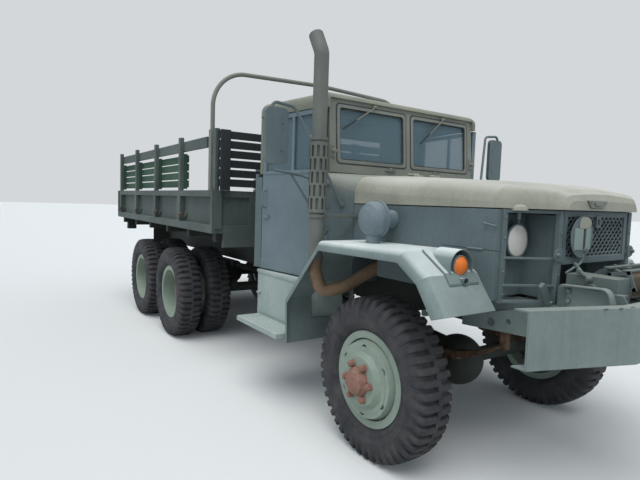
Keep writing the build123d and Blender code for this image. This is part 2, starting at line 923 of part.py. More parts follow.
def side_boxes():
    """Battery box under the right door and tool box under the left one, with lid, door and latch."""
    box = block((box_rear_x, box_front_x), (-box_face_y, -box_inner_y), (box_bottom_z, box_top_z))
    box += block(
        (box_rear_x - 4, box_front_x + 3),
        (-box_face_y - 7, -box_inner_y),
        (box_top_z - 24, box_top_z),
    )
    box += block(
        (box_rear_x + 28, box_front_x - 28),
        (-box_face_y - 4, -box_face_y + 1),
        (box_bottom_z + 24, box_top_z - 44),
    )
    box += rod((box_rear_x + 50, -box_face_y, 796), (box_rear_x + 50, -box_face_y - 20, 796), 15)
    box += block((box_rear_x + 20, box_rear_x + 66), (-box_face_y - 22, -box_face_y - 16), (788, 804))
    return both_sides(box)


def steps():
    """Ribbed tread plates under the boxes, carried back to the rails by brackets."""
    under = box_bottom_z - step_thickness
    xs = (box_rear_x + 7, box_front_x)
    plate = block(xs, (-step_outer_y, -box_inner_y), (box_bottom_z - 6, box_bottom_z))
    plate += block(xs, (-step_outer_y, -step_outer_y + 6), (under, box_bottom_z))
    for x in (xs[0], xs[1] - 6):
        plate += block((x, x + 6), (-step_outer_y, -box_inner_y), (under, box_bottom_z))
    for i in range(6):
        y = -step_outer_y + 22 + i * 28
        plate += block((xs[0] + 20, xs[1] - 20), (y, y + 8), (box_bottom_z - 1, box_bottom_z + 4))
    for x in (box_rear_x + 60, box_front_x - 60):
        plate += block((x - 22, x + 22), (-step_outer_y + 3, -rail_outer_y), (under, box_bottom_z - 5))
        plate += block((x - 22, x + 22), (-rail_outer_y - 14, -rail_outer_y), (under, rail_top_z - 30))
    return both_sides(plate)


def fuel_tank():
    """Round-cornered fuel tank strapped under the left rail behind the cab."""
    def barrel(x0, x1, grow):
        ys = (rail_outer_y + 40 - grow, rail_outer_y + 40 + tank_width + grow)
        made = block((x0, x1), ys, (tank_bottom_z - grow, tank_top_z + grow))
        return fillet(made.edges().filter_by(Axis.X), tank_corner + grow)

    tank = barrel(tank_rear_x, tank_front_x, 0)
    for x in (tank_rear_x + tank_strap, tank_front_x - tank_strap):
        tank += barrel(x - 25, x + 25, 4)
        tank += block(
            (x - 25, x + 25),
            (rail_outer_y, rail_outer_y + 200),
            (tank_top_z - 10, tank_top_z + 50),
        )
    neck_x = tank_front_x - tank_strap - 220
    neck_y = rail_outer_y + 340
    tank += rod((neck_x, neck_y, tank_top_z - 10), (neck_x, neck_y, tank_top_z + 45), 38)
    tank += rod((neck_x, neck_y, tank_top_z + 45), (neck_x, neck_y, tank_top_z + 63), 52)
    return tank


def exhaust_stack():
    """Upright stack with its slotted heat shield, clamps and bracket, bent back and open at the top."""
    x = stack_x
    y = -stack_y
    tip = (x - 75, y, stack_bend_z + 130)
    stack = bent_tube([(x, y, stack_foot_z), (x, y, stack_bend_z), tip], stack_radius, [90])
    stack -= rod(tip, (x - 45, y, stack_bend_z + 78), stack_radius - 3)
    shield = rod((x, y, shield_bottom_z), (x, y, shield_top_z), shield_radius)
    shield -= rod((x, y, shield_bottom_z + 8), (x, y, shield_top_z - 8), shield_radius - shield_wall)
    pitch = (shield_top_z - shield_bottom_z - 30) / shield_rows
    slots = []
    for row in range(shield_rows):
        z0 = shield_bottom_z + 15 + row * pitch + 8
        for column in range(shield_slots):
            slot = block((stack_radius, shield_radius + 5), (-8, 8), (z0, z0 + pitch - 16))
            slots.append(Pos(x, y, 0) * Rot(0, 0, 360 / shield_slots * (column + row % 2 / 2)) * slot)
    shield = shield - slots
    for z in (shield_bottom_z - 34, shield_top_z + 14):
        shield += rod((x, y, z), (x, y, z + 22), stack_radius + 7)
    shield += block((x - 20, x + 20), (y, -panel_outer_y), (shield_bottom_z - 33, shield_bottom_z - 13))
    return stack + shield


def exhaust_pipe():
    """Rusted pipe from the engine, through the hood side, behind the wheel and up through the fender."""
    turns = [
        (-280, -engine_half - 6, 1170),
        (-310, -640, 1150),
        (-400, -850, 1010),
        (-500, -985, 960),
        (stack_x, -stack_y, 1110),
        (stack_x, -stack_y, stack_foot_z),
    ]
    return bent_tube(turns, pipe_radius, [70, 70, 60, 50])


def air_intake():
    """Domed drum of the air cleaner, facing outwards, on the fender beside the hood."""
    x = -130
    y = -830
    z = 1480
    drum = turned_y(
        [(0, 0), (0, 106), (-8, 113), (-40, 113), (-74, 96), (-98, 60), (-108, 20), (-109, 0)],
        x,
        z,
    )
    drum = Pos(0, y, 0) * drum
    drum += rod((x, y - 25, fender_top_z - 5), (x, y - 25, z), 45)
    drum += disc_y(x, z, y + 10, y - 10, 118)
    drum += disc_y(x, z, y, -panel_outer_y, 60)
    return drum


def mirrors():
    """Large mirrors in bent-tube loops on bosses along the cowl sides."""
    x = mirror_x
    y = -door_front_half - mirror_reach
    head = block((x - 15, x + 15), (y - 52, y + 126), (mirror_bottom_z, mirror_top_z))
    head = fillet(head.edges().filter_by(Axis.X), 40)
    narrowing = door_front_half - cowl_front_half
    run = cowl_front_x - door_front_x
    out_x = narrowing / math.hypot(narrowing, run)
    out_y = -math.sqrt(1 - out_x ** 2)

    def off_cowl(x, z, reach):
        side_y = -door_front_half + narrowing / run * (x - door_front_x)
        return (x + out_x * reach, side_y + out_y * reach, z)

    # x, z, height of the boss's seat above the cowl; the middle one sits on a hinge leaf
    upper = (-615, 1561, 0)
    lower = (-706, 1700, hinge_leaf)
    foot = (-706, 1370, 0)
    turns = [
        off_cowl(upper[0], upper[1], 12),
        (x, y + 183, mirror_top_z + 21),
        (x, y, mirror_top_z + 39),
        (x, y, mirror_bottom_z - 38),
        (x + 25, y + 240, mirror_bottom_z - 68),
        off_cowl(lower[0], lower[1], lower[2] + 12),
    ]
    loop = bent_tube(turns, 11, [60, 40, 40, 30])
    made = head + loop + rod((x + 3, y + 150, mirror_bottom_z - 48), off_cowl(foot[0], foot[1], 12), 9)
    for boss_x, boss_z, seat in (upper, lower, foot):
        made += rod(off_cowl(boss_x, boss_z, seat), off_cowl(boss_x, boss_z, 16), 17)
    return both_sides(made)


def stake_x(i):
    """Middle of the i-th stake from the front; the first stands at the front corner."""
    return stake_first_x - i * stake_pitch + (50 if i == 0 else 0)


def cargo_bed():
    """Steel body: floor, bottom rail, ribbed and capped sides with ring bosses, front bulkhead."""
    bed = block((bed_rear_x, bed_front_x), (-bed_half, bed_half), (bed_bottom_z, bed_floor_z))
    bulkhead = block((bed_front_x - 40, bed_front_x), (-bed_half, bed_half), (bed_floor_z, bed_side_z))
    bulkhead -= block(
        (bed_front_x - 20, bed_front_x + 5),
        (-bed_half + 80, bed_half - 80),
        (bed_floor_z + 30, bed_side_z - rail_cap),
    )
    for y in (-800, -400, 0, 400, 800):
        bulkhead += block(
            (bed_front_x - 30, bed_front_x),
            (y - 35, y + 35),
            (bed_floor_z, bed_side_z - 10),
        )
    bulkhead += block(
        (bed_front_x - 40, bed_front_x),
        (-1090, 1090),
        (bed_bottom_z - bed_front_drop, bed_bottom_z),
    )
    xs = (bed_rear_x, bed_front_x - 40)
    side = block(xs, (-bed_inner_half - bed_panel, -bed_inner_half), (bed_floor_z, bed_side_z))
    side += block(xs, (-bed_cap_half, -bed_inner_half), (bed_side_z - rail_cap, bed_side_z))
    side += block(xs, (-bed_half, -bed_inner_half), (bed_floor_z, bed_floor_z + 26))
    for i in range(stakes):
        x = stake_x(i)
        side += block(
            (x - bed_rib / 2, x + bed_rib / 2),
            (-bed_cap_half, -bed_inner_half),
            (bed_floor_z, bed_side_z),
        )
        if i:
            ring_x = x + bed_rib
            side += disc_y(ring_x, ring_z, -bed_inner_half, -bed_inner_half - bed_panel - 14, ring_radius)
    return bed + bulkhead + side + mirrored(side)


def bed_frame():
    """Long sills on the rails and the crossmembers they carry."""
    low_z = bed_bottom_z - bed_beam_depth
    pitch = (first_beam_x - last_beam_x) / (bed_beams - 1)
    frame = block(
        (bed_rear_x + 150, bed_front_x - 60),
        (-rail_outer_y + 2, -rail_outer_y + rail_flange),
        (rail_top_z, bed_bottom_z),
    )
    frame += mirrored(frame)
    for i in range(bed_beams):
        x = first_beam_x - i * pitch
        frame += block((x - 35, x + 35), (-bed_half + 60, bed_half - 60), (low_z, bed_bottom_z))
    return frame


def tailgate():
    """Ribbed and capped gate hinged at the floor."""
    x = bed_rear_x
    half = bed_half - 4
    gate = block((x - 18, x - gap), (-half, half), (bed_floor_z - 10, bed_side_z))
    gate += block((x - 34, x - gap), (-half, half), (bed_side_z - rail_cap, bed_side_z))
    gate += block((x - 34, x - gap), (-half, half), (bed_floor_z - 10, bed_floor_z + 45))
    for y in (-half + 45, -600, 0, 600, half - 45):
        gate += block((x - 34, x - gap), (y - 45, y + 45), (bed_floor_z, bed_side_z - 10))
    gate += disc_y(x - 20, bed_bottom_z + 20, -half, half, 12)
    gate += block((x - 26, x - 14), (-half, half), (bed_bottom_z + 20, bed_floor_z))
    return gate


def racks():
    """Side stakes and their top boards."""
    outer = -stake_y - stake_depth / 2
    inner = -stake_y + stake_depth / 2
    side = None
    for i in range(stakes):
        x = stake_x(i)
        post = block(
            (x - stake_width / 2, x + stake_width / 2),
            (outer, inner),
            (bed_side_z, stake_top_z),
        )
        side = post if side is None else side + post
    rear_x = stake_x(stakes - 1) - 60
    side += block(
        (rear_x, rack_front_x),
        (inner, inner + board_thickness),
        (rack_board_z, rack_board_z + 102),
    )
    return both_sides(side)


def front_rack():
    """Dark boards across the front of the bed with their upright battens."""
    x = stake_x(0) + stake_width / 2
    rack = None
    for i in range(front_boards):
        z = first_slat_z + i * 86
        board = block((x, x + board_thickness), (-stake_y, stake_y), (z, z + 68))
        rack = board if rack is None else rack + board
    for y in (-1100, -370, 370, 1100):
        rack += block(
            (x + board_thickness, x + board_thickness + 26),
            (y - 45, y + 45),
            (bed_side_z, stake_top_z - 10),
        )
    return rack


def troop_seats():
    """Folded-up slatted seats in the rear three bays of each side, on battens against the stakes."""
    rear_x = stake_x(stakes - 1) - 60
    front_x = stake_x(1) + 20
    inner = -seat_inner_y
    seat = None
    for i in range(slats):
        z = first_slat_z + i * slat_pitch
        slat = block((rear_x, front_x), (inner - 20, inner), (z, z + slat_height))
        seat = slat if seat is None else seat + slat
    for i in range(1, stakes):
        x = stake_x(i)
        seat += block((x - 28, x + 28), (-stake_y + stake_depth / 2, inner - 20), (1672, 2040))
    return both_sides(seat)


def tarp_bow():
    """One tarpaulin bow over the front of the bed, its legs in wider sockets."""
    x = stake_first_x - 50
    y = stake_y
    top_z = bow_top_z - 40
    bow = bent_tube(
        [(x, -y, bed_side_z), (x, -y, top_z), (x, 0, bow_top_z), (x, y, top_z), (x, y, bed_side_z)],
        bow_radius, [bow_corner, 900, bow_corner],
    )
    for side_y in (-y, y):
        bow += block((x - 27, x + 27), (side_y - 24, side_y + 24), (bed_side_z, stake_top_z))
    return bow


def tail_lamps():
    """Lamp boxes under the bed with two round lenses each, facing back."""
    x = bed_rear_x + 30
    y = -tail_lamp_y
    top_z = bed_bottom_z - bed_beam_depth
    lamp = block((x, x + 90), (y - 60, y + 60), (top_z - 102, top_z))
    for z in (top_z - 74, top_z - 28):
        lamp += turned_x([(x + 2, 0), (x + 2, 19), (x - 8, 17), (x - 12, 0)], y, z)
    return both_sides(lamp)


def rear_hooks():
    """Bumperettes and the towing pintle at the frame's end."""
    x = rail_rear_x
    made = block((x - 22, x), (-rail_outer_y, rail_outer_y), (rail_bottom_z, rail_top_z))
    bumper = block(
        (x - 90, x - 76),
        (-rail_outer_y - 250, -rail_outer_y + 70),
        (rail_bottom_z - 20, rail_top_z + 20),
    )
    bumper += block(
        (x - 78, x),
        (-rail_outer_y, -rail_outer_y + 60),
        (rail_bottom_z + 20, rail_top_z - 20),
    )
    made += bumper + mirrored(bumper)
    made += block((x - 40, x), (-95, 95), (pintle_z - 85, pintle_z + 85))
    made += block((x - 70, x), (-35, 35), (pintle_z - 60, pintle_z + 60))
    jaw = disc_y(
        x - 95,
        pintle_z,
        -24,
        24,
        pintle_eye + 26,
    ) - disc_y(x - 95, pintle_z, -25, 25, pintle_eye)
    return made + jaw


def front_axle():
    """Steered driving axle: tubes, top-fed differential case and ball ends."""
    axle = disc_y(0, axle_z, -kingpin_y, kingpin_y, axle_tube_radius)
    axle += Pos(0, -140, axle_z) * Sphere(175)
    axle += rod((0, -140, axle_z + 60), (-270, -140, axle_z + 90), 62)
    for y in (-kingpin_y, kingpin_y):
        axle += Pos(0, y, axle_z) * Sphere(knuckle_ball_radius)
    for y in (-spring_y, spring_y):
        axle += block((-70, 70), (y - 45, y + 45), (axle_z, axle_z + 80))
    return axle


def knuckle():
    """Right steering knuckle: shell round the axle's ball, arm and spindle."""
    centre = (0, -kingpin_y, axle_z)
    inner = knuckle_ball_radius + knuckle_gap
    outer = inner + knuckle_wall
    shell = Pos(*centre) * (Sphere(outer) - Sphere(inner))
    shell -= block((-300, 300), (-kingpin_y + 25, -kingpin_y + 400), (0, 1200))
    for z in (axle_z - outer - 14, axle_z + inner + 2):
        shell += Pos(0, -kingpin_y, z + 14) * Cylinder(42, 32)
    spindle_y = -kingpin_y - outer
    shell += disc_y(0, axle_z, spindle_y - 18, spindle_y + 26, 78) - Pos(*centre) * Sphere(inner)
    face_y = -front_tyre_y - disc_offset + disc_thickness + hub_flange + 2
    shell += disc_y(0, axle_z, face_y, spindle_y, spindle_radius)
    arm_x = -steering_arm_length
    shell += prism_z(
        [
            (-60, -kingpin_y - 60),
            (arm_x, -kingpin_y + 30),
            (arm_x, -kingpin_y + 75),
            (-85, -kingpin_y + 5),
        ],
        tie_rod_z - 12, tie_rod_z + 12,
    )
    pin_top = tie_rod_z - 10
    shell += rod(
        (arm_x + 10, -kingpin_y + 52, pin_top),
        (arm_x + 10, -kingpin_y + 52, tie_rod_z - 40 + tie_rod_radius + 1),
        11,
    )
    return shell


def tie_rod():
    """Rod between the two steering arms, behind the axle."""
    x = -steering_arm_length + 10
    y = kingpin_y - 52
    made = disc_y(x, tie_rod_z - 40, -y, y, tie_rod_radius)
    return made


def rear_axles():
    """Two driving axles with top-fed differential cases."""
    found = []
    for x in (-wheelbase + bogie_spread / 2, -wheelbase - bogie_spread / 2):
        end = dual_centre_y - disc_thickness - hub_flange - 2
        axle = disc_y(x, axle_z, -end, end, spindle_radius)
        for y in (-spring_y, spring_y):
            axle += block((x - 70, x + 70), (y - 45, y + 45), (axle_z, axle_z + 80))
        axle += Pos(x, 120, axle_z) * Sphere(178)
        axle += rod((x - 230, 120, axle_z + 130), (x + 240, 120, axle_z + 130), 60)
        found.append(axle)
    return group(*found)


def curved_leaf(x, z, reach, rise, thickness, y0, y1):
    """Spring leaf of half-length reach whose ends lie higher than its middle by rise."""
    low = [(x - reach, z + rise), (x, z), (x + reach, z + rise)]
    high = [(px, pz + thickness) for px, pz in low]
    outline = [
        ThreePointArc(*low),
        Line(low[-1], high[-1]),
        ThreePointArc(*reversed(high)),
        Line(high[0], low[0]),
    ]
    face = Plane.XZ * make_face(outline)
    return Pos(0, max(y0, y1), 0) * extrude(face, amount=abs(y1 - y0), dir=(0, -1, 0))


def front_springs():
    """Leaf packs under the front of the rails, with their hangers."""
    y = -spring_y
    spring = None
    for i in range(4):
        reach = 230 + i * 110
        leaf = curved_leaf(0, axle_z + 80 + i * 14, reach, 150 * (reach / 560) ** 2, 14, y - 32, y + 32)
        spring = leaf if spring is None else spring + leaf
    for x in (-545, 545):
        spring += block((x - 20, x + 20), (y - 20, y + 20), (axle_z + 250, rail_bottom_z))
    return both_sides(spring)


def bogie_springs():
    """Inverted leaf packs on the trunnion, their ends on the axles."""
    y = -spring_y
    spring = None
    for i in range(5):
        reach = 650 - i * 90
        leaf = curved_leaf(
            -wheelbase,
            axle_z + 140 + i * 18,
            reach,
            -60 * (reach / 650) ** 2,
            18,
            y - 38,
            y + 38,
        )
        spring = leaf if spring is None else spring + leaf
    spring += block((-wheelbase - 90, -wheelbase + 90), (y - 30, y + 30), (axle_z + 160, rail_bottom_z))
    return both_sides(spring)


def drive_line():
    """Gearbox, transfer case and propeller shafts."""
    gear = block((-1150, gearbox_front_x), (-165, 165), (760, 955))
    transfer = block((transfer_x - 170, transfer_x + 170), (-220, 200), (640, crossmember_bottom_z - 10))
    transfer += block(
        (transfer_x - 25, transfer_x + 25),
        (-160, 140),
        (crossmember_bottom_z - 12, crossmember_bottom_z),
    )
    shaft1 = rod((-1150, 0, 880), (-1640, 0, 850), 42)
    front = rod((-275, -140, axle_z + 91), (-1640, -160, 700), 38)
    rear_x = -wheelbase + bogie_spread / 2 + 245
    rear = rod((rear_x, 120, axle_z + 130), (-1980, 100, 720), 40)
    between = rod(
        (-wheelbase - bogie_spread / 2 + 242, 120, axle_z + 130),
        (-wheelbase + bogie_spread / 2 - 232, 120, axle_z + 130),
        40,
    )
    return group(gear + transfer + shaft1 + front + rear, between)


def tyre():
    """One tyre about its own middle, with round side walls and slanted grooves in both shoulders."""
    bead = rim_half_width - rim_flange
    foot = (rim_radius + 1, bead)
    belly = (385, tyre_half_width)
    shoulder = (tyre_radius - 38, tread_half_width + 17)
    edge = (tyre_radius - 8, tread_half_width)
    outline = [
        Line((bead_radius, -bead), (bead_radius, bead)),
        Line((bead_radius, bead), foot),
        ThreePointArc(foot, belly, shoulder),
        Line(shoulder, edge),
        ThreePointArc(edge, (tyre_radius, 0), (edge[0], -edge[1])),
        Line((edge[0], -edge[1]), (shoulder[0], -shoulder[1])),
        ThreePointArc((shoulder[0], -shoulder[1]), (belly[0], -belly[1]), (foot[0], -foot[1])),
        Line((foot[0], -foot[1]), (bead_radius, -bead)),
    ]
    body = revolve(make_face(outline), axis=Axis.Y, revolution_arc=360)
    far = tyre_half_width + 4
    grooves = []
    for side in (-1, 1):
        section = [
            (groove_centre_radius, side * 18),
            (groove_shoulder_radius, side * far),
            (tyre_radius + 20, side * far),
            (tyre_radius + 20, side * 18),
        ]
        groove = extrude(make_face(Polyline(*section, close=True)), amount=groove_width, dir=(0, 0, 1))
        groove = Pos(0, 0, -groove_width / 2) * groove
        for i in range(tread_grooves):
            grooves.append(Rot(0, 360 / tread_grooves * (i + 0.25 * side), 0) * groove)
    return body - grooves


def wheel_disc(y, outward):
    """Rim and dished disc with hand holes; outward is -1 or 1, the way the disc bulges."""
    inner = y - rim_half_width
    outer = y + rim_half_width
    rim = turned_y(
        [
            (inner, bead_radius - 12),
            (inner, rim_radius),
            (inner + rim_flange, rim_radius),
            (inner + rim_flange, bead_radius - 0.5),
            (outer - rim_flange, bead_radius - 0.5),
            (outer - rim_flange, rim_radius),
            (outer, rim_radius),
            (outer, bead_radius - 12),
        ],
        0, 0,
    )
    face = y + outward * disc_offset
    t = outward * disc_thickness
    root = y + outward * 40
    reach = disc_offset - 40
    shelf = root + outward * reach * 0.62
    disc = turned_y(
        [
            (root, bead_radius - 11),
            (root + t, bead_radius - 11),
            (shelf + t, hand_hole_circle + 34),
            (shelf + t * 1.5, hand_hole_circle - 22),
            (face, disc_face_radius),
            (face, 60),
            (face - t, 60),
            (face - t, disc_face_radius - 4),
            (shelf, hand_hole_circle - 26),
            (shelf - t * 0.5, hand_hole_circle + 26),
        ],
        0, 0,
    )
    holes = []
    for i in range(hand_holes):
        angle = math.radians(360 / hand_holes * (i + 0.5))
        x = hand_hole_circle * math.cos(angle)
        z = hand_hole_circle * math.sin(angle)
        holes.append(disc_y(x, z, y - 300, y + 300, hand_hole_radius))
    return rim + (disc - holes)


def hub(face_y, outward, length, drum_inner):
    """Drive hub with its flange, nuts and brake drum."""
    back = face_y - outward * hub_flange
    made = turned_y(
        [(face_y, 0), (face_y, hub_flange_radius), (back, hub_flange_radius), (back, 0)],
        0,
        0,
    )
    nose = [
        (0, 0),
        (0, hub_radius),
        (0.6, hub_radius - 14),
        (0.92, hub_radius - 22),
        (1, hub_radius - 40),
        (1, 0),
    ]
    made += turned_y([(face_y + outward * length * share, radius) for share, radius in nose], 0, 0)
    deep = face_y - outward * 60
    far = face_y - outward * drum_inner
    made += turned_y(
        [(back, 60), (back, drum_radius), (far, drum_radius), (far, 130), (deep, 120), (deep, 60)],
        0,
        0,
    )
    for i in range(lug_nuts):
        angle = math.radians(360 / lug_nuts * i)
        x = lug_nut_circle * math.cos(angle)
        z = lug_nut_circle * math.sin(angle)
        made += disc_y(x, z, face_y, face_y + outward * 42, 15)
    return made


def front_wheel(rubber):
    """Right front wheel: tyre, and rim with its hub."""
    y = -front_tyre_y
    hub_face = y - disc_offset + disc_thickness
    body = wheel_disc(y, -1) + hub(hub_face, -1, hub_length, 120)
    return Pos(0, y, axle_z) * rubber, Pos(0, 0, axle_z) * body


def twin_wheel(rubber):
    """Right pair of rear wheels about x = 0: two tyres, and both rims on one hub."""
    inner_y = -dual_centre_y + disc_offset
    outer_y = -dual_centre_y - disc_offset
    body = wheel_disc(inner_y, -1) + wheel_disc(outer_y, 1)
    body += hub(-dual_centre_y + disc_thickness, -1, rear_hub_length, 110)
    tyres = group(Pos(0, inner_y, axle_z) * rubber, Pos(0, outer_y, axle_z) * rubber)
    return tyres, Pos(0, 0, axle_z) * body


os.makedirs("parts", exist_ok=True)

write("frame_rails", frame_rails())
write("front_bumper", front_bumper())
write("winch", winch())
write("engine_block", engine_block())
write("radiator_grille", radiator_grille())
write("brush_guards", brush_guards())
write("headlamps", headlamps())
write("signal_lamps", signal_lamps())
right_fender = front_fenders()
write("fender_right", right_fender)
write("fender_left", mirrored(right_fender))
write("hood_sides", hood_sides())
write("hood", hood())
write("cab_body", cab_body())
write("windshield_frame", windshield_frame())
write("cab_glass", cab_glass())
write("hardtop", hardtop())
right_door = door()
write("door_right", right_door)
write("door_left", mirrored(right_door))
right_glass = door_glass()
write("door_glass_right", right_glass)
write("door_glass_left", mirrored(right_glass))
write("seat_frames", seat_frames())
write("seat_cushions", seat_cushions())
write("steering_wheel", steering_wheel())
write("side_boxes", side_boxes())
write("steps", steps())
write("fuel_tank", fuel_tank())
write("exhaust_stack", exhaust_stack())
write("exhaust_pipe", exhaust_pipe())
write("air_intake", air_intake())
write("mirrors", mirrors())
write("cargo_bed", cargo_bed())
write("bed_frame", bed_frame())
write("tailgate", tailgate())
write("racks", racks())
write("front_rack", front_rack())
write("troop_seats", troop_seats())
write("tarp_bow", tarp_bow())
write("tail_lamps", tail_lamps())
write("rear_hooks", rear_hooks())
write("front_axle", front_axle())
right_knuckle = knuckle()
write("knuckle_right", right_knuckle)
write("knuckle_left", mirrored(right_knuckle))
write("tie_rod", tie_rod())
write("rear_axles", rear_axles())
write("front_springs", front_springs())
write("bogie_springs", bogie_springs())
write("drive_line", drive_line())
rubber = tyre()
tyre_node, wheel_node = front_wheel(rubber)
write("front_tyre_right", tyre_node)
write("front_tyre_left", mirrored(tyre_node))
write("front_wheel_right", wheel_node)
write("front_wheel_left", mirrored(wheel_node))
tyre_node, wheel_node = twin_wheel(rubber)
for place, x in (("mid", -wheelbase + bogie_spread / 2), ("rear", -wheelbase - bogie_spread / 2)):
    write(f"{place}_tyres_right", Pos(x, 0, 0) * tyre_node)
    write(f"{place}_tyres_left", Pos(x, 0, 0) * mirrored(tyre_node))
    write(f"{place}_wheels_right", Pos(x, 0, 0) * wheel_node)
    write(f"{place}_wheels_left", Pos(x, 0, 0) * mirrored(wheel_node))
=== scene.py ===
import math

import bmesh
import bpy
from mathutils import Matrix, Vector
from mathutils.bvhtree import BVHTree


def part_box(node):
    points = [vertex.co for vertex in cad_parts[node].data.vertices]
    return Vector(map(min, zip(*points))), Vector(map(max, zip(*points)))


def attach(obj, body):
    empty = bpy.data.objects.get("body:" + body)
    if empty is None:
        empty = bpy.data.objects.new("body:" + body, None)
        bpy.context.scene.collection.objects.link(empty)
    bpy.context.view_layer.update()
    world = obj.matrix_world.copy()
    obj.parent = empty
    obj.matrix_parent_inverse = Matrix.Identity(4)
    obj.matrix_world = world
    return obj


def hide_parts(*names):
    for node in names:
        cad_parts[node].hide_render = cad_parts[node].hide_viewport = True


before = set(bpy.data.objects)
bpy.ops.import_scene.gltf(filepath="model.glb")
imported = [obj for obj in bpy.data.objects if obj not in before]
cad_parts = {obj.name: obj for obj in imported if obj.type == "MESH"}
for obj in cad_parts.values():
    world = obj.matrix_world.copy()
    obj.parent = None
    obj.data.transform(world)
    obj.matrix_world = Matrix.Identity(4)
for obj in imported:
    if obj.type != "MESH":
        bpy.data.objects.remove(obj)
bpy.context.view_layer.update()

# The viewpoint of the photograph: a hand-held camera at head height off the truck's right front corner.
# Its place, direction and lens come from lining up wheel rims and points of bed, windshield, grille and
# fender with the picture.
camera_data = bpy.data.cameras.new("photo_camera")
camera = bpy.data.objects.new("photo_camera", camera_data)
bpy.context.scene.collection.objects.link(camera)
bpy.context.scene.camera = camera
camera_place = Vector((4.509, -2.885, 1.576))
camera_yaw = math.radians(34.193)
camera_pitch = math.radians(4.384)
camera_roll = math.radians(1.837)
camera_data.sensor_width = 36.0
camera_data.lens = 492.917 / 640 * camera_data.sensor_width
looking = Vector((
    -math.cos(camera_yaw) * math.cos(camera_pitch),
    math.sin(camera_yaw) * math.cos(camera_pitch),
    -math.sin(camera_pitch),
))
level_right = looking.cross(Vector((0, 0, 1))).normalized()
level_up = level_right.cross(looking)
right = level_right * math.cos(camera_roll) + level_up * math.sin(camera_roll)
up = level_up * math.cos(camera_roll) - level_right * math.sin(camera_roll)
turn = Matrix((right, up, -looking)).transposed().to_4x4()
camera.matrix_world = Matrix.Translation(camera_place) @ turn
camera_data.clip_end = 200.0
bpy.context.scene.view_settings.view_transform = "Standard"


def linear(hex_colour):
    """An sRGB hex value as linear RGBA, which the shaders take."""
    parts = [int(hex_colour[i:i + 2], 16) / 255 for i in (1, 3, 5)]
    return tuple(c / 12.92 if c <= 0.04045 else ((c + 0.055) / 1.055) ** 2.4 for c in parts) + (1.0,)


def add(tree, kind, sockets=None, **settings):
    """One shader node with its settings; sockets takes a value or another node's output for each input."""
    node = tree.nodes.new(kind)
    for name, value in settings.items():
        setattr(node, name, value)
    for name, value in (sockets or {}).items():
        if isinstance(value, bpy.types.NodeSocket):
            tree.links.new(value, node.inputs[name])
        else:
            node.inputs[name].default_value = value
    return node


def new_material(name):
    """An empty material with its output, ready for its nodes."""
    material = bpy.data.materials.new(name)
    material.use_nodes = True
    tree = material.node_tree
    tree.nodes.clear()
    output = tree.nodes.new("ShaderNodeOutputMaterial")
    return material, tree, output


# Studio floor, sky and one broad soft lamp from above and in front, like the overcast day of the picture.
# The floor is a plain pale sheet; the sky gives camera and glass the same pale tone behind the truck.
floor_material, tree, output = new_material("studio_floor")
floor_shader = add(tree, "ShaderNodeBsdfDiffuse", {"Color": linear("#d9dad8"), "Roughness": 1.0})
tree.links.new(floor_shader.outputs[0], output.inputs[0])
floor_mesh = bpy.data.meshes.new("studio_floor")
floor_half = 90.0
floor_mesh.from_pydata(
    [
        (-floor_half, -floor_half, 0), (floor_half, -floor_half, 0),
        (floor_half, floor_half, 0), (-floor_half, floor_half, 0),
    ],
    [], [(0, 1, 2, 3)],
)
floor_mesh.materials.append(floor_material)
floor = bpy.data.objects.new("studio_floor", floor_mesh)
bpy.context.scene.collection.objects.link(floor)

world = bpy.data.worlds.new("soft_sky")
bpy.context.scene.world = world
world.use_nodes = True
tree = world.node_tree
tree.nodes.clear()
path = add(tree, "ShaderNodeLightPath")
seen = add(
    tree, "ShaderNodeMath", {0: path.outputs["Is Camera Ray"], 1: path.outputs["Is Transmission Ray"]},
    operation="MAXIMUM",
)
sky_light = add(tree, "ShaderNodeBackground", {"Color": linear("#dbe5f0"), "Strength": 0.78})
sky_seen = add(tree, "ShaderNodeBackground", {"Color": linear("#dcdfe2"), "Strength": 0.92})
sky = add(tree, "ShaderNodeMixShader", {0: seen.outputs[0], 1: sky_light.outputs[0], 2: sky_seen.outputs[0]})
add(tree, "ShaderNodeOutputWorld", {0: sky.outputs[0]})

lamp_data = bpy.data.lights.new("cloud_light", "SUN")
lamp_data.energy = 2.0
lamp_data.angle = math.radians(50)
lamp = bpy.data.objects.new("cloud_light", lamp_data)
bpy.context.scene.collection.objects.link(lamp)
lamp.rotation_euler = (math.radians(18), math.radians(15), 0)


